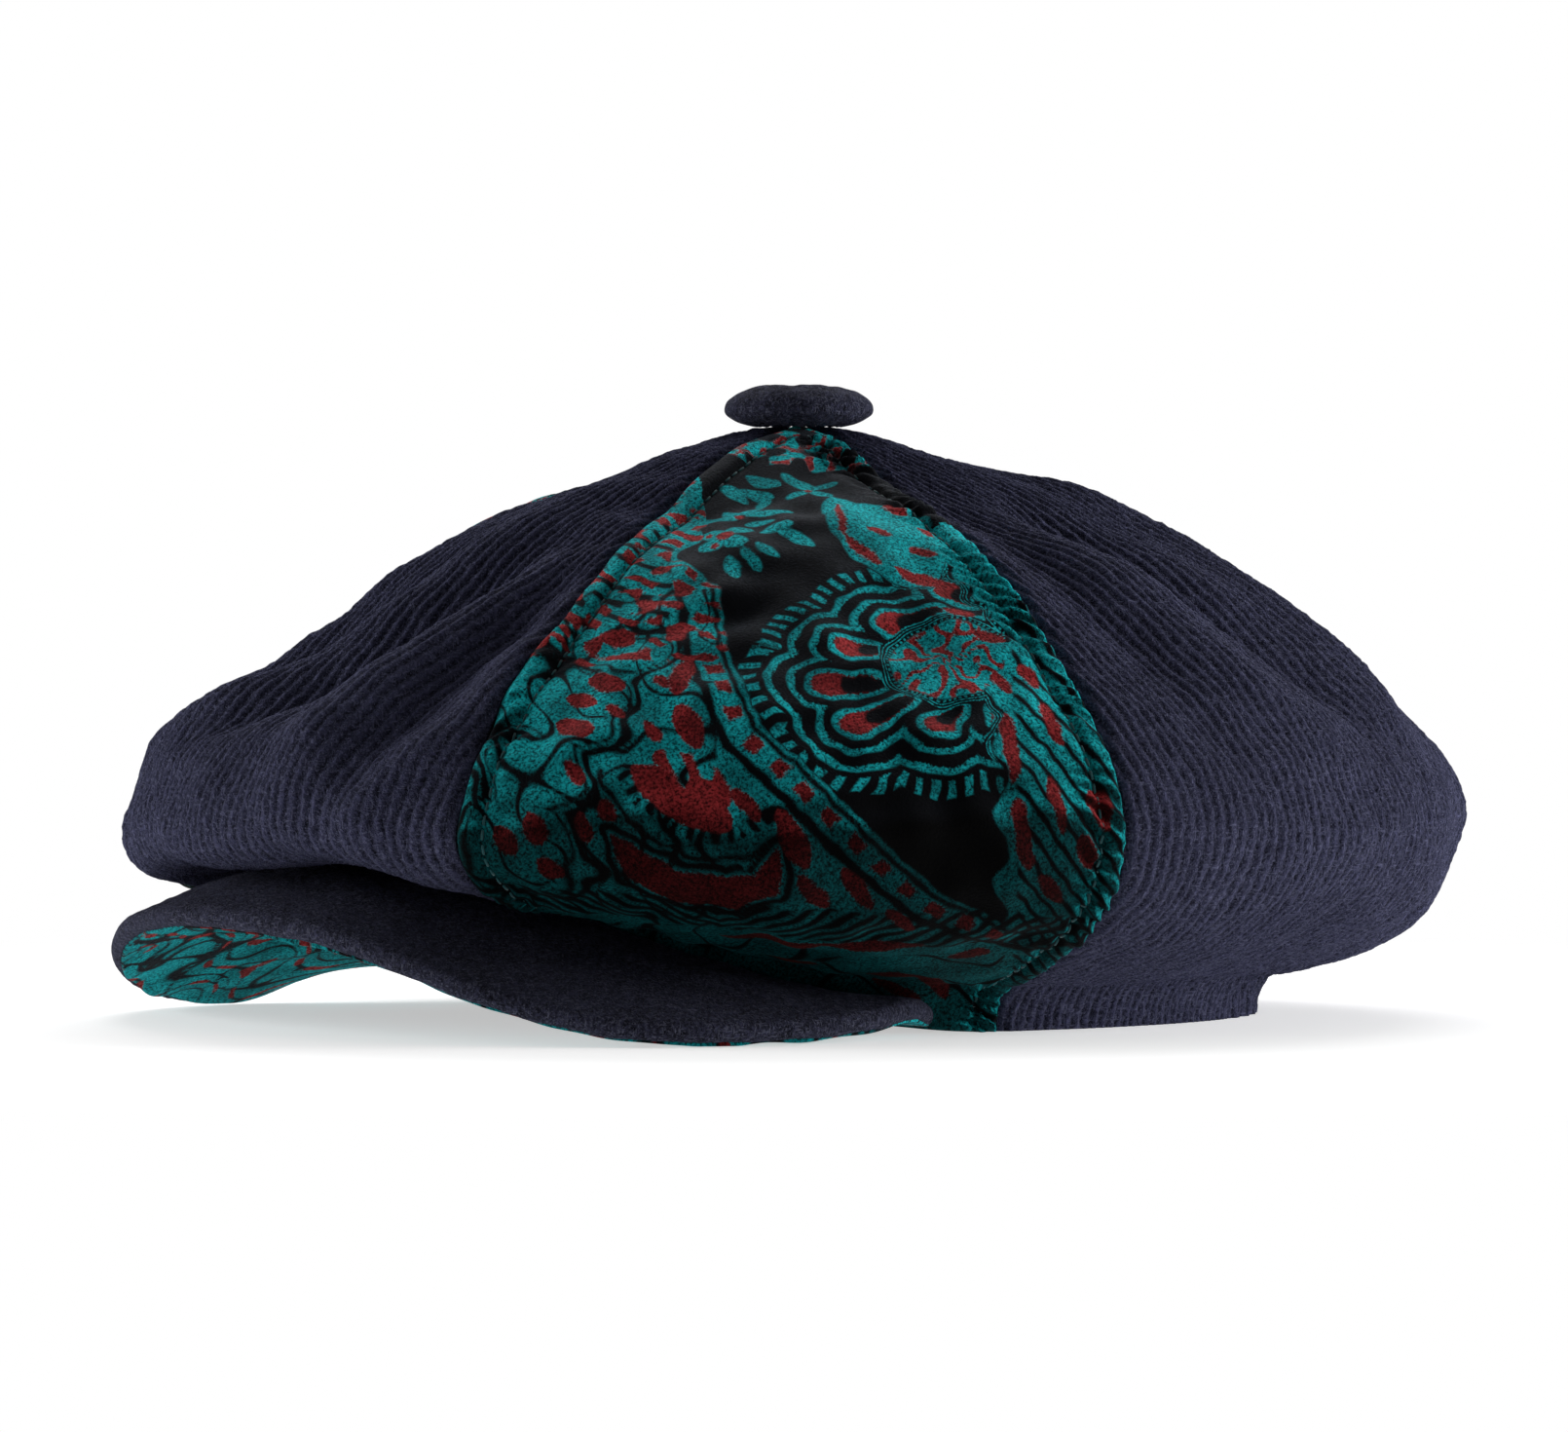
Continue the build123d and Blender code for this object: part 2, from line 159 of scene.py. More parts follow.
def meridians(azimuth):
    """Radius and height of the crown's outside from the button to the edge, column by azimuth."""
    turns = azimuth / (2.0 * PANEL_HALF)
    bow = PANEL_BOW * np.cos(np.pi * (turns - np.round(turns)))
    bulge = ellipse_radius(azimuth, BULGE_LENGTH, BULGE_WIDTH)
    start = np.arccos((TOP_RADIUS / bulge) ** (1.0 / DOME_RADIUS_POWER))
    angle = start * (1.0 - np.linspace(0.0, 1.0, DOME_STATIONS, endpoint=False)[:, None])
    reach = np.cos(angle) ** DOME_RADIUS_POWER
    dome_height = BULGE_HEIGHT + DOME_RISE * np.sin(angle) ** DOME_HEIGHT_POWER

    opening = ellipse_radius(azimuth, OPENING_LENGTH, OPENING_WIDTH)
    edge = brow_height(opening * np.cos(azimuth))
    front = np.maximum(np.cos(azimuth), 0.0) ** 4
    hang = droop(azimuth)
    share = np.linspace(0.0, 1.0, TUCK_STATIONS, endpoint=False)[:, None]
    rest = 1.0 - share
    weights = (rest**3, 3 * rest**2 * share, 3 * rest * share**2, share**3)
    radii = (bulge + bow, bulge + bow, bulge + bow - TUCK_REACH, opening + FOLD_OVERHANG)
    under = UNDER_HEIGHT + UNDER_FRONT_RISE * front - hang
    tuck = TUCK_HEIGHT + TUCK_FRONT_RISE * front - hang
    heights = (BULGE_HEIGHT, under, tuck, edge + STAND_HEIGHT)
    tuck_radius = sum(w * r for w, r in zip(weights, radii))
    tuck_height = sum(w * h for w, h in zip(weights, heights))

    share = np.linspace(0.0, 1.0, STAND_STATIONS)[:, None]
    rest = 1.0 - share
    lean = FOLD_OVERHANG * rest**3 + STAND_LEAN * (3 * rest**2 * share + rest * share**2)
    climb = STAND_HEIGHT * rest**3 + STAND_WALL * (3 * rest**2 * share + rest * share**2)
    radius = np.vstack([(bulge + bow) * reach, tuck_radius, opening + lean])
    height = np.vstack([dome_height, tuck_height, edge + climb])
    return radius, height


def crown_sheet(azimuth, rows, top=0.0, foot=1.0):
    """Grid over the crown, evenly spaced along each meridian between two shares of its length.

    Returns radius, height and distance from the button, all rows by azimuths.
    """
    radius, height = meridians(azimuth)
    steps = np.hypot(np.diff(radius, axis=0), np.diff(height, axis=0))
    length = np.vstack([np.zeros(len(azimuth)), np.cumsum(steps, axis=0)])
    shares = np.linspace(top, foot, rows)
    out = [np.empty((rows, len(azimuth))) for _ in range(3)]
    for column in range(len(azimuth)):
        target = shares * length[-1, column]
        out[0][:, column] = np.interp(target, length[:, column], radius[:, column])
        out[1][:, column] = np.interp(target, length[:, column], height[:, column])
        out[2][:, column] = target
    return out


def to_points(azimuth, radius, height):
    """Points from azimuth, radius and height arrays."""
    return np.stack([radius * np.sin(azimuth), -radius * np.cos(azimuth), height + 0 * radius], -1)


def outward(points):
    """Unit normals of a grid whose rows run down and whose columns run to the wearer's left."""
    down = np.gradient(points, axis=0)
    left = np.gradient(points, axis=1)
    normal = np.cross(down, left)
    return normal / np.linalg.norm(normal, axis=-1, keepdims=True)


def raised(points, lift):
    """Points moved outwards, but never below the floor at the foot."""
    normal = outward(points)
    normal[..., 2] *= smooth(points[..., 2], FOOT_LEVEL[0], FOOT_LEVEL[1])
    return points + normal * lift[..., None]


# ---- Meshes ----
def new_object(name, points, faces, material, numbers=None, close=False):
    """Mesh object in metres, smooth shaded, with optional per-vertex numbers for its material."""
    mesh = bpy.data.meshes.new(name)
    mesh.from_pydata((np.asarray(points) * MM).tolist(), [], faces)
    mesh.validate()
    for label, values in (numbers or {}).items():
        layer = mesh.attributes.new(label, "FLOAT", "POINT")
        layer.data.foreach_set("value", np.ascontiguousarray(values, dtype=np.float32))
    if close:
        work = bmesh.new()
        work.from_mesh(mesh)
        bmesh.ops.recalc_face_normals(work, faces=work.faces)
        work.to_mesh(mesh)
        work.free()
    mesh.shade_smooth()
    mesh.materials.append(material)
    piece = bpy.data.objects.new(name, mesh)
    bpy.context.collection.objects.link(piece)
    return piece


def shell_faces(rows, columns, stride):
    """Faces of a sheet with a fine front, a coarse back and four walls."""
    fine = np.arange(rows * columns).reshape(rows, columns)
    back_shape = ((rows - 1) // stride + 1, (columns - 1) // stride + 1)
    coarse = rows * columns + np.arange(back_shape[0] * back_shape[1]).reshape(back_shape)
    front = np.stack([fine[:-1, :-1], fine[1:, :-1], fine[1:, 1:], fine[:-1, 1:]], -1)
    back = np.stack([coarse[:-1, :-1], coarse[:-1, 1:], coarse[1:, 1:], coarse[1:, :-1]], -1)
    faces = front.reshape(-1, 4).tolist() + back.reshape(-1, 4).tolist()
    walls = (
        (fine[0], coarse[0]),
        (fine[-1][::-1], coarse[-1][::-1]),
        (fine[::-1, 0], coarse[::-1, 0]),
        (fine[:, -1], coarse[:, -1]),
    )
    for outer, inner in walls:
        for step in range(len(inner) - 1):
            rim = outer[step * stride : (step + 1) * stride + 1].tolist()
            faces.append(rim + [int(inner[step + 1]), int(inner[step])])
    return faces


def sheet_shell(name, front, thickness, material, numbers=None, stride=BACK_STRIDE):
    """Closed shell: the front grid, and a coarser copy of it pushed in by the thickness."""
    rows, columns = front.shape[:2]
    back = (front - outward(front) * thickness)[::stride, ::stride]
    back[..., 2] = np.maximum(back[..., 2], 0.0)
    points = np.vstack([front.reshape(-1, 3), back.reshape(-1, 3)])
    spread = {}
    for label, values in (numbers or {}).items():
        spread[label] = np.concatenate([values.ravel(), values[::stride, ::stride].ravel()])
    return new_object(name, points, shell_faces(rows, columns, stride), material, spread)


def capped_faces(rows, around):
    """Faces of a row of rings closed by one point at each end."""
    index = np.arange(rows * around).reshape(rows, around)
    ahead = np.roll(index, -1, 1)
    quads = np.stack([index[:-1], ahead[:-1], ahead[1:], index[1:]], -1)
    faces = quads.reshape(-1, 4).tolist()
    first, last = rows * around, rows * around + 1
    faces += [[first, int(b), int(a)] for a, b in zip(index[0], ahead[0])]
    faces += [[last, int(a), int(b)] for a, b in zip(index[-1], ahead[-1])]
    return faces


def swept_shell(name, loops, material, numbers=None, closed=False):
    """Closed body through a row of closed profiles of equal length."""
    stations, around = loops.shape[:2]
    index = np.arange(stations * around).reshape(stations, around)
    ahead = np.roll(index, -1, axis=0) if closed else index[1:]
    here = index if closed else index[:-1]
    quads = np.stack([here, np.roll(here, -1, 1), np.roll(ahead, -1, 1), ahead], -1)
    faces = quads.reshape(-1, 4).tolist()
    if not closed:
        faces += [index[0][::-1].tolist(), index[-1].tolist()]
    return new_object(name, loops.reshape(-1, 3), faces, material, numbers, close=True)


# ---- Materials ----
class Nodes:
    """Short calls for building one material's nodes."""

    def __init__(self, name):
        self.material = bpy.data.materials.new(name)
        self.material.use_nodes = True
        self.tree = self.material.node_tree
        self.surface = self.tree.nodes["Principled BSDF"]
        where = self.tree.nodes.new("ShaderNodeTexCoord")
        self.place = where.outputs["Object"]
        self.facing = where.outputs["Normal"]

    def put(self, socket, value):
        """Feeds a socket from another socket or sets it to a plain value."""
        if isinstance(value, bpy.types.NodeSocket):
            self.tree.links.new(value, socket)
        else:
            socket.default_value = value

    def node(self, kind, **inputs):
        """A new node with its named inputs fed."""
        made = self.tree.nodes.new("ShaderNode" + kind)
        for label, value in inputs.items():
            self.put(made.inputs[label.replace("_", " ")], value)
        return made

    def noise(self, size_mm, detail=3.0, rough=0.6, stretch=(1.0, 1.0, 1.0)):
        """Grey noise whose features are about size_mm across."""
        scaled = self.node("Mapping", Vector=self.place, Scale=stretch)
        made = self.node("TexNoise", Vector=scaled.outputs[0], Scale=1.0 / (size_mm * MM))
        made.inputs["Detail"].default_value = detail
        made.inputs["Roughness"].default_value = rough
        return made.outputs["Fac"]

    def value(self, label):
        """A per-vertex number of the mesh."""
        made = self.tree.nodes.new("ShaderNodeAttribute")
        made.attribute_name = label
        return made.outputs["Fac"]

    def math(self, operation, first, second=0.0, third=0.0):
        """Result of one sum on up to three numbers."""
        made = self.tree.nodes.new("ShaderNodeMath")
        made.operation = operation
        for socket, value in zip(made.inputs, (first, second, third)):
            self.put(socket, value)
        return made.outputs[0]

    def ring(self, value, middle, half_width):
        """Distance below 0 within half_width of a middle value."""
        away = self.math("ABSOLUTE", self.math("SUBTRACT", value, middle))
        return self.math("SUBTRACT", away, half_width)

    def ramp(self, value, low, high, out_low=0.0, out_high=1.0):
        """Value mapped from low..high to out_low..out_high, clamped."""
        made = self.tree.nodes.new("ShaderNodeMapRange")
        made.interpolation_type = "SMOOTHSTEP"
        for socket, item in zip(made.inputs, (value, low, high, out_low, out_high)):
            self.put(socket, item)
        return made.outputs[0]

    def mix(self, share, first, second):
        """Colour that goes from the first to the second with the share."""
        made = self.tree.nodes.new("ShaderNodeMix")
        made.data_type = "RGBA"
        self.put(made.inputs[0], share)
        self.put(made.inputs[6], first)
        self.put(made.inputs[7], second)
        return made.outputs[2]

    def shaded(self, color, share):
        """Colour multiplied by a number."""
        scaled = self.node("VectorMath", Vector=color)
        scaled.operation = "SCALE"
        self.put(scaled.inputs["Scale"], share)
        return scaled.outputs[0]

    def bump(self, height, distance_mm, strength=1.0):
        """Normal tilted by a small relief."""
        made = self.node("Bump", Height=height, Distance=distance_mm * MM, Strength=strength)
        return made.outputs["Normal"]

    def finish(self, color, rough, normal=None, sheen=0.0, sheen_tint=None, sheen_rough=0.5, metal=0.0):
        """Feeds the surface and returns the material."""
        surface = self.surface.inputs
        self.put(surface["Base Color"], color)
        self.put(surface["Roughness"], rough)
        self.put(surface["Metallic"], metal)
        self.put(surface["Sheen Weight"], sheen)
        self.put(surface["Sheen Roughness"], sheen_rough)
        surface["Specular IOR Level"].default_value = 0.5 if metal else 0.04
        if sheen_tint is not None:
            self.put(surface["Sheen Tint"], sheen_tint)
        if normal is not None:
            self.put(surface["Normal"], normal)
        return self.material


def rgb(red, green, blue):
    """Solid linear colour."""
    return (red, green, blue, 1.0)


def strands(n, size_mm):
    """Sparse bright hairs lying in three directions."""
    total = None
    for stretch in ((1.0, 0.16, 1.0), (0.16, 1.0, 1.0), (1.0, 1.0, 0.16)):
        hair = n.ramp(n.noise(size_mm, 1.0, 0.5, stretch), 0.60, 0.70)
        total = hair if total is None else n.math("MAXIMUM", total, hair)
    return total


def ribbed_wool():
    """Navy corded wool: brushed ribs, painted shade in the grooves between them, short tangled fibres."""
    n = Nodes("ribbed_wool")
    rib = n.value("rib")
    fibre = n.ramp(n.noise(0.85, 3.0, 0.7), 0.40, 0.61)
    tuft = n.ramp(n.noise(2.4, 3.0, 0.65), 0.36, 0.64)
    cloud = n.noise(30.0, 2.0)
    hair = strands(n, 0.5)
    shade = n.math("MULTIPLY_ADD", fibre, 0.36, n.math("MULTIPLY", tuft, 0.12))
    # Painted shade: the grooves between the ribs are darkened through the rib profile, on top of the
    # fibres' own tone.
    shade = n.math("MULTIPLY_ADD", n.math("SUBTRACT", rib, 0.12), 0.56, shade)
    color = n.mix(shade, rgb(0.0020, 0.0021, 0.0052), rgb(0.084, 0.087, 0.168))
    color = n.mix(n.ramp(cloud, 0.35, 0.75, 0.0, 0.3), color, rgb(0.016, 0.016, 0.033))
    color = n.mix(n.math("MULTIPLY", hair, 0.5), color, rgb(0.150, 0.156, 0.260))
    height = n.math("MULTIPLY_ADD", tuft, 0.5, n.math("MULTIPLY_ADD", hair, 0.5, fibre))
    normal = n.bump(height, 0.5, 1.0)
    return n.finish(color, 0.95, normal, 0.16, rgb(0.40, 0.42, 0.66), 0.5)


def felted_wool():
    """Dark navy melton: felt with stray fibres and a faint cloudy nap."""
    n = Nodes("felted_wool")
    fibre = n.ramp(n.noise(0.85, 3.0, 0.75), 0.41, 0.60)
    tuft = n.ramp(n.noise(2.2, 3.0, 0.7), 0.38, 0.62)
    cloud = n.ramp(n.noise(12.0, 3.0), 0.3, 0.7)
    hair = strands(n, 0.45)
    shade = n.math("MULTIPLY_ADD", fibre, 0.5, n.math("MULTIPLY", tuft, 0.3))
    shade = n.math("MULTIPLY_ADD", cloud, 0.2, shade)
    color = n.mix(shade, rgb(0.0012, 0.0013, 0.0026), rgb(0.056, 0.058, 0.104))
    color = n.mix(n.math("MULTIPLY", hair, 0.6), color, rgb(0.150, 0.155, 0.225))
    height = n.math("MULTIPLY_ADD", tuft, 0.5, n.math("MULTIPLY_ADD", hair, 0.6, fibre))
    normal = n.bump(height, 0.55, 1.0)
    return n.finish(color, 0.95, normal, 0.10, rgb(0.40, 0.42, 0.60), 0.5)


def printed_velvet(name, least_painted_light):
    """Short-pile velvet with a printed ground: near black, teal and brick red, with painted light and
    shade by which way the surface faces.
    """
    n = Nodes(name)
    pile = n.noise(0.65, 3.0, 0.8)
    nap = n.noise(10.0, 3.0)
    blur = n.math("MULTIPLY_ADD", pile, 3.0, -1.5)
    petal = n.math("ADD", n.value("petal"), n.math("MULTIPLY", blur, 0.6))
    dash = n.math("SUBTRACT", n.math("FRACT", n.value("turn")), 0.5)
    dash = n.math("MULTIPLY_ADD", n.math("ABSOLUTE", dash), 3.6, -0.8)
    dash = n.math("MAXIMUM", dash, n.ring(petal, 12.9, 1.9))
    flower = n.math("MINIMUM", dash, n.ring(petal, 0.3, 0.75))
    rings = n.math("MINIMUM", n.ring(petal, 4.1, 0.75), n.ring(petal, 8.5, 0.85))
    flower = n.math("MINIMUM", flower, rings)
    teal = n.math("MINIMUM", n.math("ADD", n.value("teal"), blur), flower)
    red = n.math("ADD", n.value("red"), blur)
    teal = n.ramp(teal, 0.28, -0.28)
    red = n.ramp(red, 0.28, -0.28)
    grain = n.ramp(pile, 0.36, 0.64, 0.0, 1.0)
    grain = n.math("MULTIPLY", grain, n.ramp(nap, 0.3, 0.7, 0.55, 1.3))
    tilt = n.node("SeparateXYZ", Vector=n.facing).outputs
    # Painted light and shade: a factor that brightens faces turned up or towards the rear and darkens
    # upright faces, from the given least value up to about 2.1 and more.
    painted_light = n.ramp(tilt["Z"], 0.10, 0.72, least_painted_light, 2.1)
    painted_light = n.math("ADD", painted_light, n.ramp(tilt["Y"], 0.0, 0.6, 0.0, 1.2))
    black = rgb(0.0012, 0.0014, 0.0020)
    teal_shade = n.mix(grain, rgb(0.0005, 0.012, 0.014), rgb(0.006, 0.265, 0.290))
    red_shade = n.mix(grain, rgb(0.012, 0.0018, 0.0022), rgb(0.200, 0.016, 0.018))
    color = n.mix(red, n.mix(teal, black, teal_shade), red_shade)
    # Painted light and shade: the printed colour is scaled by the facing factor.
    color = n.shaded(color, painted_light)
    teal_tip = n.mix(grain, rgb(0.01, 0.14, 0.16), rgb(0.05, 0.80, 0.85))
    red_tip = n.mix(grain, rgb(0.18, 0.03, 0.03), rgb(0.85, 0.16, 0.16))
    black_tip = n.mix(grain, rgb(0.022, 0.027, 0.034), rgb(0.085, 0.098, 0.120))
    tip = n.mix(red, n.mix(teal, black_tip, teal_tip), red_tip)
    normal = n.bump(pile, 0.5, 0.8)
    # Painted sheen: the sheen tint is scaled by the same facing factor.
    return n.finish(color, 0.85, normal, 0.7, n.shaded(tip, painted_light), 0.28)


def woven(name, light, dark, pitch_mm, rough=0.7, sheen=0.15):
    """Plain fine weave, for linings, tapes, labels and webbing."""
    n = Nodes(name)
    waves_x = n.node("TexWave", Vector=n.place, Scale=1.0 / (pitch_mm * MM * 6.28))
    waves_x.bands_direction = "DIAGONAL"
    waves_x.inputs["Distortion"].default_value = 1.5
    grain = n.noise(pitch_mm * 0.8, 3.0)
    share = n.math("MULTIPLY_ADD", waves_x.outputs["Fac"], 0.5, n.math("MULTIPLY", grain, 0.6))
    color = n.mix(share, dark, light)
    normal = n.bump(share, 0.12, 0.5)
    return n.finish(color, rough, normal, sheen)


def thread(name, light, dark):
    """Twisted sewing thread."""
    n = Nodes(name)
    ply = n.noise(0.25, 2.0, 0.5, (1.0, 1.0, 3.0))
    return n.finish(n.mix(ply, dark, light), 0.6, n.bump(ply, 0.1, 0.5), 0.3)


def moulded(name, color, other):
    """Moulded polyethylene board with a fine haze."""
    n = Nodes(name)
    haze = n.noise(2.5, 3.0)
    return n.finish(n.mix(haze, color, other), 0.55, n.bump(haze, 0.05, 0.3))


def pressed_metal():
    """Pressed aluminium with faint drawing marks."""
    n = Nodes("pressed_metal")
    marks = n.noise(0.6, 3.0, 0.5, (1.0, 1.0, 12.0))
    color = n.mix(marks, rgb(0.62, 0.63, 0.66), rgb(0.82, 0.83, 0.85))
    return n.finish(color, n.ramp(marks, 0.3, 0.7, 0.28, 0.45), n.bump(marks, 0.02, 0.3), metal=1.0)


# ---- Soft folds of the crown ----
# Each fold is a height, a width and a path of (azimuth in degrees, distance from the button).
LEFT_FOLDS = (
    (4.6, 7.5, ((23, 78), (18.5, 100), (15, 125), (13, 146), (11.5, 162))),
    (-5, 6, ((23.5, 84), (22.5, 112), (21, 138), (18.5, 156))),
    (3, 5, ((29.5, 112), (28.5, 132), (26.5, 146), (24, 157), (20, 169))),
    (-4.6, 8, ((15, 74), (8, 108), (1.5, 132), (-5, 154))),
    (3.6, 9, ((7, 68), (1, 98), (-6, 126), (-12, 150))),
    (-2.6, 8, ((-2, 78), (-9, 106), (-16, 132))),
    (3.6, 9, ((106, 80), (110, 105), (113, 126), (115, 144))),
    (-6.6, 7.5, ((118, 66), (123, 92), (126, 116), (128, 140))),
    (4.2, 9, ((150, 50), (146, 80), (141, 112), (137, 142))),
    (-3, 7, ((97, 42), (98, 62), (100, 84))),
    (-1.6, 9, ((152, 98), (154, 120), (156, 138))),
    (-2.4, 7, ((98, 88), (101, 112), (103, 134))),
    (2.2, 12, ((48, 122), (54, 142), (64, 162))),
    (-2.4, 9, ((74, 92), (71, 118), (64, 140))),
    (2, 8, ((50, 70), (48, 92), (44, 112))),
)
RIGHT_FOLDS = (
    (3.4, 9, ((-18, 88), (-20, 118), (-23, 150))),
    (-3.6, 8, ((-25, 90), (-27, 120), (-29, 150))),
    (-2.6, 10, ((-52, 96), (-55, 125), (-61, 150))),
    (2.8, 11, ((-68, 100), (-70, 128), (-66, 155))),
    (3.8, 10, ((-108, 84), (-110, 112), (-113, 142))),
    (-4.4, 9, ((-118, 92), (-121, 122), (-126, 152))),
    (3.8, 10, ((-140, 80), (-137, 108), (-133, 140))),
    (2.8, 11, ((-168, 84), (-172, 112), (-177, 142))),
    (-3.6, 10, ((-158, 90), (-160, 120), (-164, 150))),
    (3, 10, ((-192, 88), (-194, 118), (-190, 148))),
)
FOLD_FADE = 14.0
FOLD_GAIN = 0.85
FOLD_WIDEN = 1.15
BUTTON_CLEAR = (9.0, 30.0)
SAG_AZIMUTH = math.radians(-22.0)
SAG_SPREAD = math.radians(55.0)
SAG_DISTANCE = 114.0
SAG_REACH = 28.0
SAG_DEPTH = 6.5
RIM_DISTANCE = 154.0
RIM_REACH = 12.0
RIM_FULLNESS = 2.6
CLOTH_TUCK = 1.3
STAND_CLEAR = (42.0, 14.0)
SOFT_SWELL = 0.7
SOFT_RIPPLE = 0.3


def fold_height(azimuth, radius, distance):
    """Outward move of the cloth at the crown's soft folds."""
    total = np.zeros_like(distance)
    for height, width, path in LEFT_FOLDS + RIGHT_FOLDS:
        angles, lengths = np.array(path).T
        middle = np.radians(np.interp(distance, lengths, angles))
        across = np.angle(np.exp(1j * (azimuth - middle))) * radius
        fade_in = smooth(distance, lengths[0] - 2 * FOLD_FADE, lengths[0] + FOLD_FADE)
        fade_out = 1.0 - smooth(distance, lengths[-1] - FOLD_FADE, lengths[-1] + 1.5 * FOLD_FADE)
        total += FOLD_GAIN * height * bump_at(across, 0.0, FOLD_WIDEN * width) * fade_in * fade_out
    return total


def sag(azimuth, distance):
    """How far the front of the dome sinks, most towards the wearer's right."""
    beside = np.angle(np.exp(1j * (azimuth - SAG_AZIMUTH)))
    sunk = SAG_DEPTH * bump_at(distance, SAG_DISTANCE, SAG_REACH)
    full = RIM_FULLNESS * bump_at(distance, RIM_DISTANCE, RIM_REACH)
    return (sunk - full) * bump_at(beside, 0.0, SAG_SPREAD)


def crown_cloth(azimuth, rows, top=0.0, foot=1.0):
    """Crown surface with its soft folds: points, radius, distance from the button."""
    radius, height, distance = crown_sheet(azimuth, rows, top, foot)
    points = to_points(azimuth, radius, height)
    length = distance[-1] / foot
    hang = 1.0 - smooth(distance, length - STAND_CLEAR[0], length - STAND_CLEAR[1])
    ease = smooth(distance, *BUTTON_CLEAR) * hang
    soft = fold_height(azimuth, radius, distance)
    soft = soft + SOFT_SWELL * waves(points, 46.0, 3) + SOFT_RIPPLE * waves(points, 17.0, 4)
    soft -= sag(azimuth, distance) + CLOTH_TUCK
    return points + outward(points) * (soft * ease)[..., None], radius, distance


# ---- Outer panels ----
PANEL_ROWS = 289
PANEL_COLUMNS = 273
RIB_PITCH = 2.8
RIB_DEPTH = 0.55
RIB_SPREAD = 0.7
SEAM_DEPTH = 1.5
SEAM_SPREAD = 1.5
CLUMP_LENGTH = 5.2
CLUMP_SLANT = 0.37
FUZZ_HEIGHT = 0.09
TOP_FADE = (-2.0, 6.0)
WELT_WIDTH = 6.5
WELT_HEIGHT = 0.9
PUCKER_PITCH = 4.7
PUCKER_HEIGHT = 0.7
PUCKER_REAR = 1.0
PUCKER_FRONT = 0.6
# Share of the welt and puckers kept at the front seam of the wearer's right panel.
QUIET_EDGE = 0.2
WELT_START = (9.0, 26.0)
STITCH_SINK = 0.75
PUCKER_FRONT_SPAN = (95.0, 130.0)
PUCKER_SLANT = 0.55
PUCKER_REACH = 7.0
RUMPLE_HEIGHT = 0.35
GATHER_PITCH = 7.0
GATHER_HEIGHT = 0.8
GATHER_HALF = math.radians(40.0)


def panel_azimuths(centre, columns):
    """Azimuths across one sixth of the crown, short of its two seams."""
    return centre + (PANEL_HALF - SEAM_GAP / OPENING_WIDTH) * np.linspace(-1.0, 1.0, columns)


def seam_distance(centre, azimuth, radius):
    """Distance along the cloth from the nearer seam."""
    return radius * (PANEL_HALF - np.abs(azimuth - centre))


def gathers(azimuth, radius, distance):
    """Ripples of the stand where the rear elastic draws it in."""
    behind = np.angle(np.exp(1j * (azimuth - math.pi)))
    zone = 1.0 - smooth(np.abs(behind), 0.8 * GATHER_HALF, 1.2 * GATHER_HALF)
    low = smooth(distance, distance[-1] - 26.0, distance[-1] - 12.0)
    return GATHER_HEIGHT * zone * low * np.sin(2.0 * np.pi * behind * radius / GATHER_PITCH)


def wool_panel(name, centre, material):
    """Ribbed wool panel."""
    azimuth = panel_azimuths(centre, PANEL_COLUMNS)
    points, radius, distance = crown_cloth(azimuth, PANEL_ROWS)
    edge = seam_distance(centre, azimuth, radius)
    spread = radius**RIB_SPREAD * radius.max() ** (1.0 - RIB_SPREAD)
    wander = 0.10 * waves(points, 24.0, 11) + 0.03 * waves(points, 7.0, 12)
    across = (azimuth - centre) * spread / RIB_PITCH + wander
    rib = 0.5 + 0.5 * np.cos(2.0 * np.pi * across)
    turn = 2.0 * np.pi * (distance / CLUMP_LENGTH + CLUMP_SLANT * across)
    clump = 0.5 + 0.5 * np.sin(turn + 2.0 * waves(points, 9.0, 13))
    lift = RIB_DEPTH * (rib * (0.88 + 0.16 * clump) - 0.5)
    lift -= SEAM_DEPTH * bump_at(edge, 0.0, SEAM_SPREAD)
    lift += gathers(azimuth, radius, distance) + FUZZ_HEIGHT * waves(points, 2.6, 14)
    lift *= smooth(distance, *TOP_FADE)
    front = raised(points, lift)
    # The rib profile also goes to the material, which paints shade into the grooves with it.
    numbers = {"rib": rib * (0.8 + 0.2 * clump)}
    return sheet_shell(name, front, SHELL_THICKNESS, material, numbers)


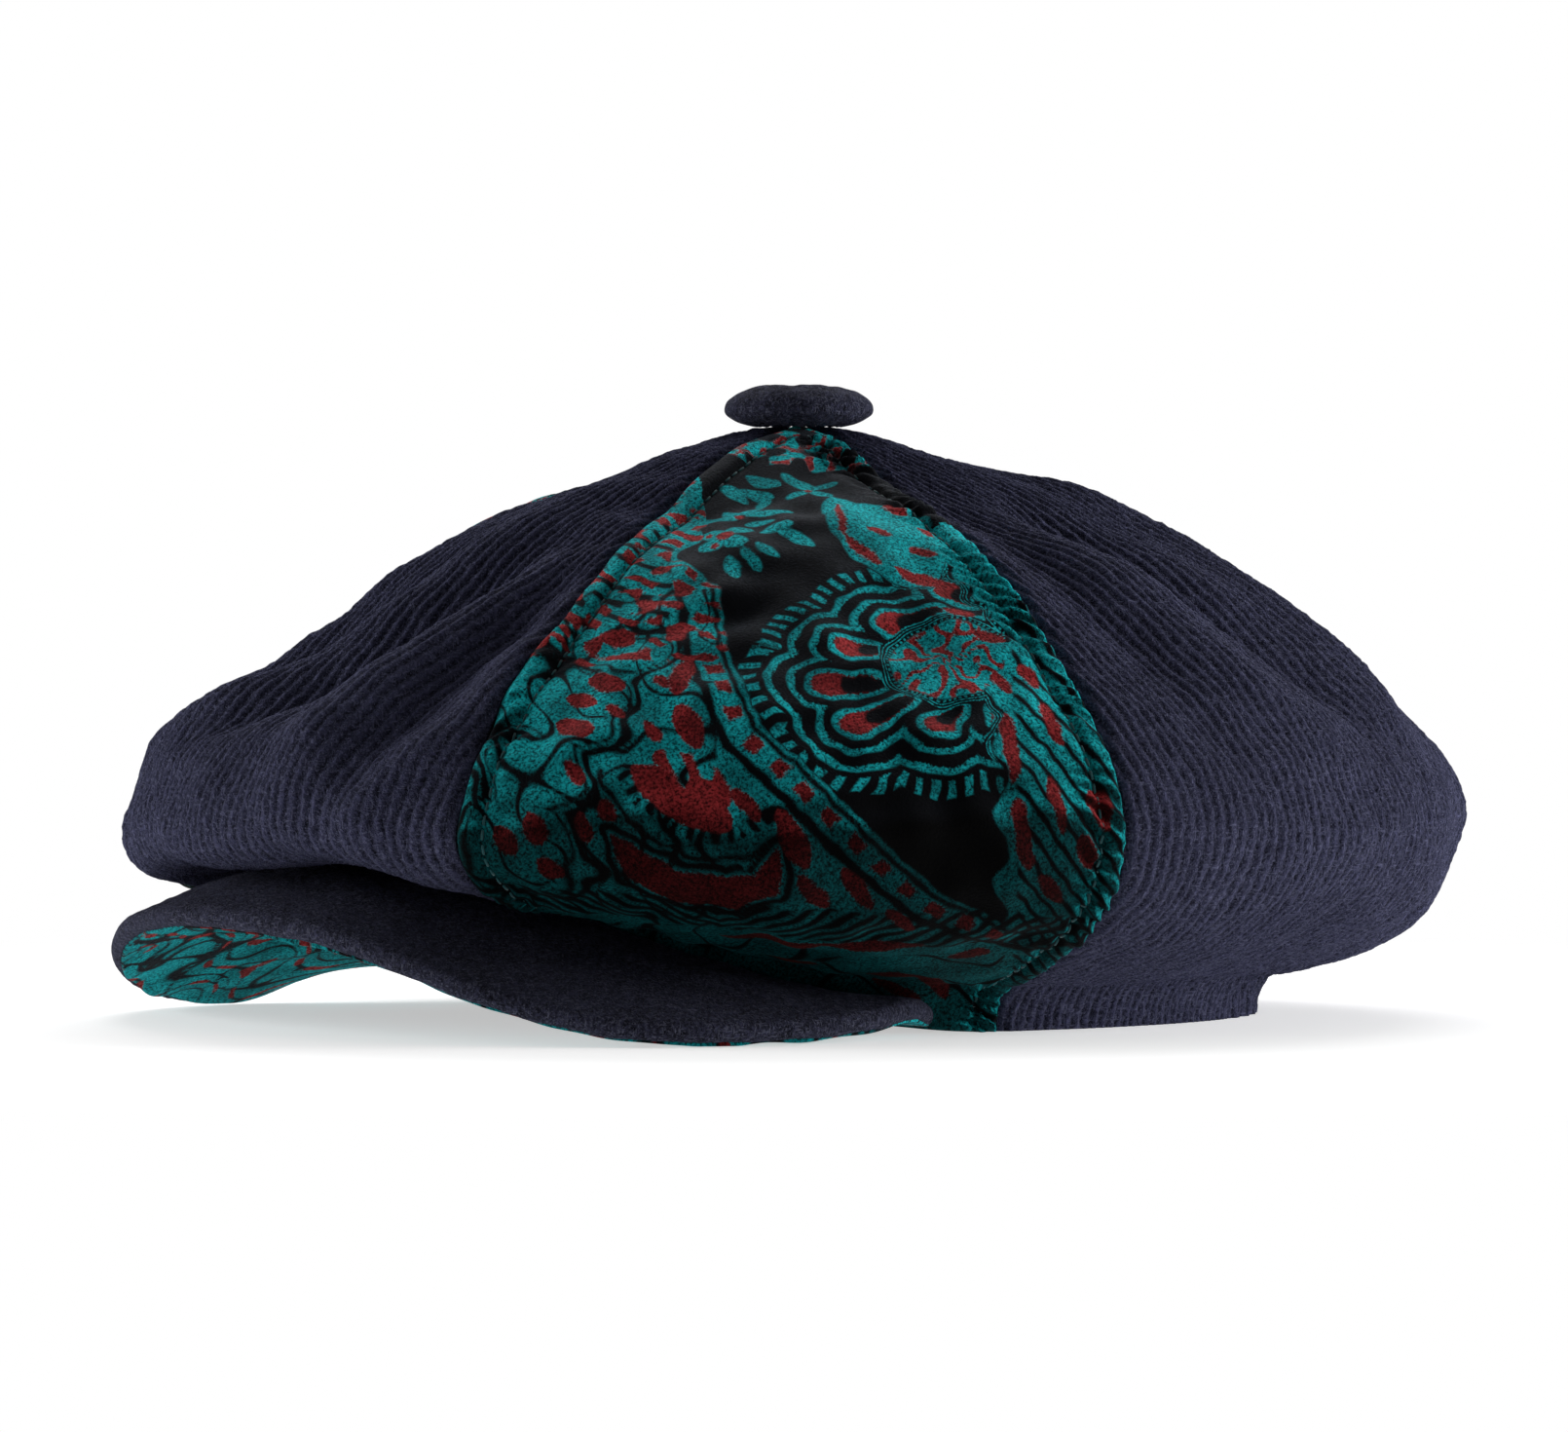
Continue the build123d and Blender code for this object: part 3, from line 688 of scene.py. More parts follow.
def velvet_front(centre):
    """Outside of a velvet panel, with its welted, puckered edges.

    Returns its points and, for each, the distances from the seam, the button and the middle.
    """
    azimuth = panel_azimuths(centre, PANEL_COLUMNS)
    points, radius, distance = crown_cloth(azimuth, PANEL_ROWS)
    edge = seam_distance(centre, azimuth, radius)
    narrow = np.clip(edge / WELT_WIDTH, 0.0, 1.0)
    wide_enough = smooth(radius, *WELT_START)
    welt = WELT_HEIGHT * np.sin(np.pi * narrow) ** 0.6
    stitch = -STITCH_SINK * bump_at(edge, WELT_WIDTH, 1.0)
    strength = 0.9 + 0.5 * waves(points, 26.0, 21)
    rearward = math.copysign(1.0, centre) * (azimuth - centre)
    quiet = np.where((rearward < 0.0) & (centre < 0.0), QUIET_EDGE, 1.0)
    strength *= np.where(rearward > 0.0, PUCKER_REAR, smooth(distance, *PUCKER_FRONT_SPAN) * PUCKER_FRONT)
    phase = 2.0 * np.pi * (distance + PUCKER_SLANT * edge) / PUCKER_PITCH + 2.2 * waves(points, 15.0, 22)
    reach = 1.0 - smooth(edge, WELT_WIDTH, WELT_WIDTH + PUCKER_REACH)
    pucker = PUCKER_HEIGHT * strength * np.sin(phase) * reach * smooth(edge, 0.0, 2.5)
    lift = (welt + stitch + pucker) * wide_enough * quiet
    lift -= SEAM_DEPTH * bump_at(edge, 0.0, 1.0)
    lift += RUMPLE_HEIGHT * waves(points, 12.0, 23) * smooth(edge, 5.0, 16.0)
    lift *= smooth(distance, *TOP_FADE)
    front = raised(points, lift)
    return front, edge, distance, radius * (azimuth - centre)


# How far the print is moved where it is turned round: across and down.
MIRROR_SHIFT = (-4.0, 6.0)


def velvet_panel(name, centre, material, mirrored):
    """Printed velvet panel; the second one carries the print turned round."""
    front, _, distance, across = velvet_front(centre)
    if mirrored:
        across = MIRROR_SHIFT[0] - across
        distance = distance + MIRROR_SHIFT[1]
    numbers = print_fields(across, distance)
    return sheet_shell(name, front, SHELL_THICKNESS, material, numbers)


# ---- Printed pattern: distances, in millimetres, below 0 inside a figure ----
# Across runs to the wearer's rear from the middle of the panel, down runs from the button.
PETALS = (
    ((29, 100), (19, 103)), ((21, 112), (10, 114)), ((19, 123), (5, 127)), ((23.5, 129), (11, 138)),
    ((33, 131.5), (28.5, 137.5)), ((42, 127), (43, 136)), ((38, 98), (32, 92)),
)
PETAL_ENDS = (1.6, 3.9)
CORE_ENDS = (0.9, 2.2)
FLOWER_MIDDLE = (31.0, 116.5)
FLOWER_EYE = 12.5
DASH_COUNT = 66
SPRIGS = (
    ((-4, 36), (3.5, 44.5), 2.2), ((8, 40), (1.5, 44), 1.7), ((7.5, 49), (1.5, 45), 1.7),
    ((-3, 49.5), (1, 45), 1.8), ((-12, 38), (-4, 42), 2.4), ((-14, 45), (-5.5, 46), 2.2),
    ((-17.5, 43), (-12, 50), 2.4), ((-9.5, 53.5), (-7, 46.5), 1.7), ((-1.5, 58), (-12, 62), 1.9),
    ((-8, 55), (-14, 61), 1.9), ((-22.5, 60), (-13.5, 63.5), 2.3), ((-17, 56), (-13.5, 62), 1.8),
    ((-5.5, 65), (-12.5, 66.5), 1.7), ((3, 78), (-6.5, 69), 2.2), ((-2, 68), (-9, 72.5), 2),
    ((-11, 69), (-16, 74.5), 2.8), ((-21.5, 71), (-16.5, 75), 2.6), ((-22, 80), (-17, 76), 2.6),
    ((-13, 81), (-15.5, 76), 2.6), ((-9, 88.5), (-12.5, 81), 1.9), ((-14, 92.5), (-15.5, 84), 1.9),
    ((-5, 83.5), (-10, 78.5), 1.8), ((-27, 70), (-22, 75), 1.8),
)
SPRIG_EYES = ((-16.2, 75.2, 2), (1.6, 44.6, 1), (-13.2, 62.4, 1.2), (-19.8, 73, 1), (-18.8, 78.6, 1))
BAND_EDGE = ((-17.5, 97), (-15.5, 119), (-9, 141.5), (8.5, 159.5), (29, 179), (47, 190))
BAND_WIDTH = 8.6
SQUARE_PITCH = 7.4
PAISLEY = (
    ((-36, 153), (-15, 166), 5.4), ((-32, 149.5), (-19, 152.5), 3.4), ((-26, 151), (-16, 161), 5),
)
PAISLEY_NOTCHES = (((-28, 146), (-24.5, 157), 1.9), ((-22.5, 147), (-19.5, 154.5), 1.6))
CRESCENT = ((-41, 168), (-34.5, 176), (-25, 180.5), (-15, 181), (-8, 177.5), (-5, 169))
COMB = ((-41, 156), (-36.5, 162.5), (-29, 168.5), (-21, 171), (-12, 169.5), (-6, 165))
RED_LEAVES = (
    ((-5.5, 161), (0.5, 173), 3), ((-15, 156.5), (-9, 163.5), 2), ((-1.5, 174), (5, 184), 2.4),
    ((-24, 121), (-27, 133), 2.6), ((-26.5, 136), (-21.5, 147), 3), ((-31, 127), (-28.5, 131), 1.8),
    ((-33, 141), (-30, 146), 1.7), ((8, 173), (14, 183), 2.2), ((17, 183), (23, 190), 2),
    ((-42.5, 161), (-40, 166), 1.8), ((-46, 127.5), (-38, 131), 3.2), ((-51, 133), (-44, 135.5), 2.4),
    ((-42, 136.5), (-37.5, 139.5), 1.8), ((-53, 141.5), (-44, 145), 3.4),
    ((-44, 112), (-36, 113.5), 2.2), ((-41, 119.5), (-33.5, 121), 2), ((-36, 99), (-31, 103), 2),
    ((-66, 168), (-61, 174), 2.6), ((-58.5, 165), (-55, 172), 2.6), ((-57, 175), (-51, 180), 2.4),
    ((-47.5, 164), (-45, 171), 1.8), ((-50, 152), (-46.5, 158), 1.9), ((-18, 203.5), (4, 199.5), 2.6),
    ((2, 199.5), (26, 196), 1.9), ((13, 222), (27, 217), 2.5), ((24, 218), (31, 232), 3),
    ((14, 229), (26, 233.5), 1.9), ((-40, 214), (-20, 218), 2.6), ((-8, 216), (3, 222), 2.4),
    ((30, 205), (40, 200), 2),
)
SCROLLS = ((-42, 101, 10.5), (-40, 117, 12), (-52, 136, 16.5), (-58, 155, 14), (-60, 173, 15))
LEAF_OUTLINE = (((7, 50), (16, 84), 6), ((10, 54), (27, 90), 10.5), ((15, 56), (26, 76), 8))
LEAF_RED = (
    ((7.6, 55), (9, 73), 1.1), ((9, 72), (17, 84), 1.5), ((18, 55), (23, 61), 1.9),
    ((14, 69), (19, 73), 1.4), ((20, 84), (33, 92), 2), ((23, 76), (29, 80), 1.6),
    ((25, 66), (29, 72), 1.4), ((30, 99), (37, 103), 1.7), ((36, 108), (44, 112), 1.8),
)
FLAMES = (
    ((43, 133), (44.5, 152), 2), ((45, 155), (47.5, 172), 2.2), ((51, 130), (55.5, 143), 1.8),
    ((62, 153), (65, 162), 3), ((59, 163), (62.5, 171), 2.4), ((52, 150), (55, 163), 1.7),
    ((47, 118), (51, 126), 1.8), ((50, 172), (55, 180), 2), ((40.5, 120), (45, 127), 1.6),
)

# Shares of a petal's start and end at which its core ends.
CORE_SHARES = (0.34, 0.66)
SQUARE_MIDDLE = 4.4
SQUARE_HALF = (1.8, 1.7)
SQUARE_START = 0.18
CRESCENT_HALF_WIDTH = 5.2
# Distances from the button at which the top figures, the strip and the lower figures begin or end.
TOP_FOOT = 31.0
STRIP_TOP = 34.0
STRIP_BEND = 84.0
STRIP_FOOT = 122.0
BAND_TOP = 97.0
REAR_SPAN = (66.0, 112.0)
PRINT_WOBBLE = 0.2
FAR = 9.0


def beside_line(across, down, start, end):
    """Share of a straight line at its nearest point, and the distance to it."""
    run = np.subtract(end, start)
    share = ((across - start[0]) * run[0] + (down - start[1]) * run[1]) / (run @ run)
    share = np.clip(share, 0.0, 1.0)
    reach = np.hypot(across - start[0] - share * run[0], down - start[1] - share * run[1])
    return share, reach


def leaf(across, down, start, end, half_width):
    """Distance to a shape pointed at both ends."""
    share, reach = beside_line(across, down, start, end)
    return reach - half_width * 2.0 * np.sqrt(share * (1.0 - share)) + 0.15


def leaves(across, down, shapes):
    """Distance to the nearest of several leaves."""
    return np.min([leaf(across, down, *shape) for shape in shapes], axis=0)


def teardrop(across, down, start, end, radii):
    """Distance to a petal that widens from its start to its end."""
    share, reach = beside_line(across, down, start, end)
    return reach - (radii[0] + (radii[1] - radii[0]) * share)


def along_path(across, down, path):
    """Distance from a path, positive to the rear side of it, and how far along it."""
    best = np.full(across.shape, np.inf)
    signed = np.zeros(across.shape)
    along = np.zeros(across.shape)
    travelled = 0.0
    for start, end in zip(path[:-1], path[1:]):
        run = np.subtract(end, start)
        length = np.hypot(*run)
        beside = (across - start[0]) * run[1] - (down - start[1]) * run[0]
        share = np.clip(((across - start[0]) * run[0] + (down - start[1]) * run[1]) / length**2, 0.0, 1.0)
        reach = np.hypot(across - start[0] - share * run[0], down - start[1] - share * run[1])
        nearer = reach < best
        best = np.where(nearer, reach, best)
        signed = np.where(nearer, np.sign(beside) * reach, signed)
        along = np.where(nearer, travelled + share * length, along)
        travelled += length
    return signed, along / travelled, travelled


def repeat(values, pitch):
    """Distance from the middle of the nearest repeat."""
    return np.abs((values / pitch) % 1.0 - 0.5) * pitch


def stroke(distance, half_width):
    """Above 0 within a half width of where a distance is 0."""
    return half_width - np.abs(distance)


def discs(across, down, shapes):
    """Distance to the nearest of several discs."""
    return np.min([np.hypot(across - x, down - y) - radius for x, y, radius in shapes], axis=0)


def flower_print(across, down):
    """Distances to the petals, their cores and the eye, and the angle round the flower."""
    petal = np.min([teardrop(across, down, *ends, PETAL_ENDS) for ends in PETALS], axis=0)
    first, second = CORE_SHARES
    cores = [(start, first * np.array(start) + second * np.array(end)) for start, end in PETALS]
    core = np.min([teardrop(across, down, *ends, CORE_ENDS) for ends in cores], axis=0)
    beside = across - FLOWER_MIDDLE[0]
    below = down - FLOWER_MIDDLE[1]
    return petal, core, np.hypot(beside, below) - FLOWER_EYE, np.arctan2(below, beside)


def band_squares(edge, share, length):
    """Distance to the squares along the band."""
    beside = np.abs(edge + SQUARE_MIDDLE) - SQUARE_HALF[0]
    square = np.maximum(beside, repeat(share * length, SQUARE_PITCH) - SQUARE_HALF[1])
    return np.where((share > SQUARE_START) & (share < 1.0), square, FAR)


def scroll_lines(across, down, grid):
    """Double lines of the scrolls, and veins between them; above 0 on a line."""
    scroll = discs(across, down, SCROLLS) + 2.2 * waves(grid, 17.0, 42)
    lines = np.maximum(stroke(scroll, 0.9), stroke(scroll + 2.6, 0.4))
    veins = np.minimum(stroke(4.5 * waves(grid, 19.0, 43), 0.7), -18.0 - across)
    return np.maximum(lines, veins)


def comb_teeth(across, down):
    """Distance to the comb: teeth on one side of its path and a back on the other."""
    side, share, length = along_path(across, down, COMB)
    teeth = np.maximum(np.abs(side - 3.0) - 1.7, repeat(share * length, 3.4) - 0.8)
    return np.minimum(teeth, np.abs(side + 1.9) - 0.5)


def crescent_moon(across, down):
    """Distance to the crescent, pointed at both ends."""
    side, share, _ = along_path(across, down, CRESCENT)
    width = CRESCENT_HALF_WIDTH * np.sin(np.pi * np.clip(share, 0.0, 1.0)) ** 0.7
    return np.abs(side) - width + 0.3


def rear_edge(across, down):
    """Distance to the scalloped ground along the rear seam."""
    lower = 41.5 + 1.8 * np.sin(down / 2.6) - across
    upper = 0.49 * down - 9.0 + 0.8 * np.sin(down / 1.3) - across
    return np.where(down > REAR_SPAN[1], lower, np.where(down > REAR_SPAN[0], upper, FAR))


def front_strip(across, down, grid):
    """Distance to the ground along the front seam, down to the band."""
    upper = np.maximum(STRIP_TOP - down, across + 0.32 * down + 1.5 * waves(grid, 13.0, 40))
    lower = np.maximum(down - STRIP_FOOT, across + 27.0 - 0.73 * (down - STRIP_BEND))
    return np.where(down < STRIP_BEND, upper, lower)


def ground_lines(across, down, grid):
    """Chevrons, feathers and swirls of the lower part; above 0 on a line."""
    chevron = stroke(repeat(down + 0.8 * np.abs(across + 18.0), 3.6), 0.9)
    chevron = np.min([chevron, down - 184.0, 197.0 - down], axis=0)
    feather = np.minimum(stroke(repeat(down * 0.8 - across * 1.1, 5.0), 0.7), across - 45.0)
    swirl = np.minimum(stroke(6.0 * waves(grid, 24.0, 34), 1.0), down - 203.0)
    return np.max([chevron, feather, swirl], axis=0)


def front_hatch(across, down, grid):
    """Broken slanting lines beside the front seam; above 0 on a line."""
    lines = stroke(repeat(down - 0.5 * across, 5.6), 1.0)
    return np.min([lines, -28.0 - across, 112.0 - down, 1.6 * waves(grid, 8.0, 39) + 0.6], axis=0)


def strip_dashes(across, down, grid):
    """Distance to the red slanting dashes of the front strip."""
    slant = down - 0.5 * across + 1.5 * waves(grid, 12.0, 41)
    return np.maximum(stroke(repeat(slant + 2.0, 7.0), 1.4), 1.6 * waves(grid, 7.0, 38) - 0.2)


def print_fields(across, down):
    """Numbers that the velvet's material turns into the print."""
    grid = np.stack([across, down], -1)
    across = across + PRINT_WOBBLE * waves(grid, 6.0, 31)
    down = down + PRINT_WOBBLE * waves(grid, 6.0, 32)

    petal, core, eye, angle = flower_print(across, down)
    edge, share, length = along_path(across, down, BAND_EDGE)
    low_side = np.maximum(edge, 0.67 * (BAND_TOP + 1.1 * (across + 17.0) - down))
    crescent = crescent_moon(across, down)
    behind = rear_edge(across, down)
    leaf_shape = leaves(across, down, LEAF_OUTLINE)
    top_mix = np.maximum(down - TOP_FOOT, 1.6 * waves(grid, 7.0, 33) - 0.4)
    strip = np.maximum(front_strip(across, down, grid), edge)
    sprig = leaves(across, down, SPRIGS)
    teal = np.min([low_side, behind, leaf_shape, sprig, strip, top_mix, eye], axis=0)

    seam_lines = np.maximum(stroke(edge + BAND_WIDTH, 0.9), stroke(edge + 1.6, 0.5))
    figures = np.maximum(stroke(crescent - 1.5, 0.7), -comb_teeth(across, down))
    scrolls = scroll_lines(across, down, grid)
    black = np.max([seam_lines, figures, scrolls, ground_lines(across, down, grid)], axis=0)
    hatch = front_hatch(across, down, grid)
    teal = np.maximum(teal, np.where(down > BAND_TOP, np.maximum(black, hatch), hatch))

    paisley = np.maximum(leaves(across, down, PAISLEY), -leaves(across, down, PAISLEY_NOTCHES))
    streaks = 1.4 * np.sin(9.0 * angle + 2.0 * waves(grid, 8.0, 35)) + 0.3
    red_parts = [
        band_squares(edge, share, length),
        crescent,
        paisley,
        discs(across, down, SPRIG_EYES),
        np.maximum(eye, streaks),
        np.maximum(top_mix, 1.5 * waves(grid, 5.0, 36) + 0.3),
        np.maximum(strip, strip_dashes(across, down, grid)),
    ]
    red_parts += [leaves(across, down, shapes) for shapes in (RED_LEAVES, LEAF_RED, FLAMES)]
    red = np.min(red_parts, axis=0)

    over = np.max([-eye, -leaf_shape, -behind, -edge], axis=0)
    petal = np.maximum(petal, 16.0 + 6.0 * np.maximum(over, across - 44.0))
    red = np.minimum(red, np.maximum(petal + 0.5, -core))
    return {"teal": teal, "red": red, "petal": petal, "turn": angle * DASH_COUNT / (2.0 * np.pi)}


# ---- Lining and the bands inside the opening ----
LINING_THICKNESS = 0.5
LINING_ROWS = 97
LINING_COLUMNS = 81
LINING_FOOT = 0.93
TAPE_DEPTH = 2.1
TAPE_THICKNESS = 0.5
TAPE_SPAN = (0.6, 7.6)
ELASTIC_HALF_WIDTH = 62.0
LABEL_HALF_WIDTH = 16.0
LABEL_SPAN = (9.0, 23.0)
LABEL_THICKNESS = 0.45
LABEL_GAP = 0.15
BAND_STATIONS = 480
BAND_EASE = 0.4
STITCH_HEIGHTS = (4.0, 26.0)
LABEL_STAND_OFF = 0.9


def lining_panel(name, centre, material):
    """Satin lining behind one panel, slightly rumpled inwards."""
    azimuth = panel_azimuths(centre, LINING_COLUMNS)
    points, radius, distance = crown_cloth(azimuth, LINING_ROWS, 0.0, LINING_FOOT)
    edge = seam_distance(centre, azimuth, radius)
    rumple = 0.45 * (1.0 + waves(points, 13.0, 41)) * smooth(edge, 0.0, 8.0)
    rumple += 0.9 * bump_at(edge, 0.0, 1.2)
    front = points - outward(points) * (LINING_DEPTH + rumple * smooth(distance, 4.0, 20.0))[..., None]
    return sheet_shell(name, front, LINING_THICKNESS, material)


def band_profile(depth, thickness, low, high, rows):
    """Closed strip section: (depth from the stand's outside, height above the edge)."""
    heights = np.linspace(low, high, rows)
    middle = depth + 0.5 * thickness
    turn = np.linspace(0.0, np.pi, 7)[1:-1]
    cap = 0.5 * thickness
    up = np.stack([np.full(rows, depth), heights], -1)
    over = np.stack([middle - cap * np.cos(turn), high + cap * np.sin(turn)], -1)
    under = np.stack([middle + cap * np.cos(turn), low - cap * np.sin(turn)], -1)
    down = np.stack([np.full(rows, depth + thickness), heights[::-1]], -1)
    return np.vstack([up, over, down, under])


def band_loops(azimuths, profile, sway=None):
    """The strip section carried round the opening, following the arched brow."""
    radius = ellipse_radius(azimuths, OPENING_LENGTH, OPENING_WIDTH)[:, None]
    depth = profile[None, :, 0] + (0.0 if sway is None else sway(azimuths[:, None], profile[None, :, 1]))
    forward = radius * np.cos(azimuths)[:, None]
    height = brow_height(forward) + profile[None, :, 1]
    inner = radius - depth
    return np.stack([inner * np.sin(azimuths)[:, None], -inner * np.cos(azimuths)[:, None], height], -1)


def sweatband(material):
    """Ribbon sweatband: stitched low edge, soft top edge that leans off the lining."""
    high = SWEATBAND_HEIGHT - BAND_EASE
    profile = band_profile(SWEATBAND_DEPTH, SWEATBAND_THICKNESS, BAND_EASE, high, 33)
    azimuths = np.linspace(-np.pi, np.pi, BAND_STATIONS, endpoint=False)

    def sway(azimuth, height):
        free = smooth(height, 8.0, SWEATBAND_HEIGHT)
        ripple = 1.0 + 0.5 * np.sin(9.0 * azimuth) + 0.4 * np.sin(14.0 * azimuth + 1.0)
        low, top = (bump_at(height, middle, 0.8) for middle in STITCH_HEIGHTS)
        return 0.8 * free * ripple - 0.35 * low - 0.2 * top

    return swept_shell("sweatband_ribbon", band_loops(azimuths, profile, sway), material, closed=True)


def elastic_ends(half_width):
    """Azimuth at which the opening is a half width from its middle line, at the rear."""
    azimuths = np.linspace(math.pi / 2, math.pi, 2000)
    left = ellipse_radius(azimuths, OPENING_LENGTH, OPENING_WIDTH) * np.sin(azimuths)
    return float(azimuths[np.argmin(np.abs(left - half_width))])


def stay_tape(material):
    """Cotton tape inside the stand, round the front and sides."""
    limit = elastic_ends(ELASTIC_HALF_WIDTH + 2.0)
    profile = band_profile(TAPE_DEPTH, TAPE_THICKNESS, *TAPE_SPAN, 9)
    loops = band_loops(np.linspace(-limit, limit, 280), profile)
    return swept_shell("stay_tape_strip", loops, material)


def rear_elastic(material):
    """Knitted elastic that gathers the rear of the stand."""
    limit = elastic_ends(ELASTIC_HALF_WIDTH)
    profile = band_profile(TAPE_DEPTH, TAPE_THICKNESS, *TAPE_SPAN, 15)
    azimuths = np.linspace(limit, 2.0 * np.pi - limit, 200)

    def sway(azimuth, height):
        return 0.08 * np.sin(160.0 * azimuth) * np.cos(2.0 * height)

    return swept_shell("rear_elastic_strip", band_loops(azimuths, profile, sway), material)


def inner_label(material):
    """Blank woven label with a raised sewn border."""
    depth = SWEATBAND_DEPTH + SWEATBAND_THICKNESS + LABEL_GAP
    low, high = LABEL_SPAN
    half = LABEL_HALF_WIDTH / OPENING_LENGTH
    profile = band_profile(depth + LABEL_STAND_OFF, LABEL_THICKNESS, low, high, 41)
    azimuths = np.linspace(math.pi - half, math.pi + half, 97)

    def sway(azimuth, height):
        side = LABEL_HALF_WIDTH - np.abs(azimuth - math.pi) * OPENING_LENGTH
        margin = np.minimum(side, np.minimum(height - low, high - height))
        return 0.16 * bump_at(margin, 1.2, 0.5) + 0.02 * np.sin(6.0 * height)

    return swept_shell("inner_label_patch", band_loops(azimuths, profile, sway), material)


# ---- Visor ----
VISOR_CENTRE_FORWARD = 66.9
VISOR_SWEEP_DEGREES = 126.0
VISOR_SWEEP = math.radians(VISOR_SWEEP_DEGREES)
VISOR_ROOT_SWEEP = math.radians(78.0)
VISOR_ROOT_GAP = 1.3
VISOR_ROOT_LIFT = 0.4
VISOR_HALF_DEPTH = -VISOR_LOW[1] - VISOR_CENTRE_FORWARD
VISOR_HALF_WIDTH = VISOR_HIGH[0]
VISOR_LOBE_HEIGHT = VISOR_LOW[2]
VISOR_PEAK_HEIGHT = 22.0
VISOR_LOBE_SWEEP = math.radians(80.0)
VISOR_ARCH_POWER = 2.3
VISOR_CROWNING = 2.5
VISOR_THICKNESS = 4.7
VISOR_PROUD = 2.2
# How far each end of the rim curls up: sweep in degrees where it starts and is full, rise.
LOBE_CURLS = {-1.0: (78.0, 104.0, 8.0), 1.0: (92.0, 119.0, 3.0)}
FELT_THICKNESS = 1.15
VELVET_THICKNESS = 1.2
BOARD_THICKNESS = 1.8
BOARD_SHARE = 0.97
# Rise of the rim beside the middle: sweep in degrees, spread, height.
RIM_WAVE = (28.0, 15.0, 2.4)
LOBE_RELAX = 0.45
STATION_EASE = 0.92
VELVET_PROUD = 0.55
VELVET_DROP = 0.35
VELVET_ROLL = 0.6
FELT_ROOT = 0.9
BOARD_GAP = 0.5
BOARD_START = 0.4
NO_PETAL = 99.0
FLOOR_CLEARANCE = 0.1
VISOR_STATIONS = 385
VISOR_ROWS = 64
BACK_ROWS = 12
BOARD_ROWS = 20
RIM_ARC = np.radians(np.linspace(90.0, -62.0, 14))


def visor_point(share, reach):
    """Underside of the visor from its root (reach 0) to its rim (reach 1)."""
    turn = VISOR_ROOT_SWEEP * share
    lift = brow_height(OPENING_LENGTH * np.cos(turn)) + VISOR_ROOT_LIFT
    root_left = (OPENING_WIDTH + VISOR_ROOT_GAP) * np.sin(turn)
    root_back = -(OPENING_LENGTH + VISOR_ROOT_GAP) * np.cos(turn)
    sweep = VISOR_SWEEP * share
    lobe = np.minimum(np.abs(sweep) / VISOR_LOBE_SWEEP, 1.0) * np.pi / 2.0
    arch = np.maximum(np.cos(lobe), 0.0) ** VISOR_ARCH_POWER
    rim_left = VISOR_HALF_WIDTH * np.sin(sweep)
    rim_back = -VISOR_CENTRE_FORWARD - VISOR_HALF_DEPTH * np.cos(sweep)
    rim_lift = VISOR_LOBE_HEIGHT + (VISOR_PEAK_HEIGHT - VISOR_LOBE_HEIGHT) * arch
    crowning = VISOR_CROWNING * 4.0 * reach * (1.0 - reach) * (1.0 - share**2)
    rim_lift = rim_lift + RIM_WAVE[2] * bump_at(np.degrees(sweep), *RIM_WAVE[:2])
    for side, (begin, full, rise) in LOBE_CURLS.items():
        turned = np.degrees(side * sweep)
        relaxed = 1.0 - LOBE_RELAX * smooth(turned, full, VISOR_SWEEP_DEGREES)
        curl = smooth(turned, begin, full) * relaxed
        rim_lift = rim_lift + rise * curl
    left = root_left + (rim_left - root_left) * reach
    back = root_back + (rim_back - root_back) * reach
    up = lift + (rim_lift - lift) * reach + crowning
    return np.stack([left + 0 * up, back + 0 * up, up], -1)


def visor_frame(share, reach):
    """Mid-thickness point, outward direction, upward normal and width of the visor."""
    step = 1e-4
    point = visor_point(share, reach)
    out = visor_point(share, reach + step) - visor_point(share, reach - step)
    side = visor_point(share + step, reach) - visor_point(share - step, reach)
    up = np.cross(side, out)
    up *= np.where(up[..., 2:] < 0.0, -1.0, 1.0) / np.linalg.norm(up, axis=-1, keepdims=True)
    away = out - up * np.sum(out * up, axis=-1, keepdims=True)
    width = np.linalg.norm(visor_point(share, 1.0 + 0 * reach) - visor_point(share, 0.0 * reach), axis=-1)
    away /= np.linalg.norm(away, axis=-1, keepdims=True)
    return point + np.array([0.0, 0.0, 0.5 * VISOR_THICKNESS]), away, up, width


def visor_loops(section, reach_share=1.0):
    """Section points (distance from the root, height off the middle) for every station."""
    angles = np.linspace(-0.5, 0.5, VISOR_STATIONS) * np.pi * STATION_EASE
    share = np.sin(angles) / math.sin(0.5 * STATION_EASE * math.pi)
    share *= reach_share
    loops = []
    for value in share:
        _, _, _, width = visor_frame(np.array([value]), np.array([0.5]))
        proud = VISOR_PROUD * (1.0 - value**4)
        along, height = section(float(width[0]) + proud)
        reach = np.clip(along / width[0], 0.0, 1.0)
        middle, away, up, _ = visor_frame(np.full(len(along), value), reach)
        beyond = along - reach * width[0]
        loops.append(middle + away * beyond[:, None] + up * height[:, None])
    return np.array(loops), share


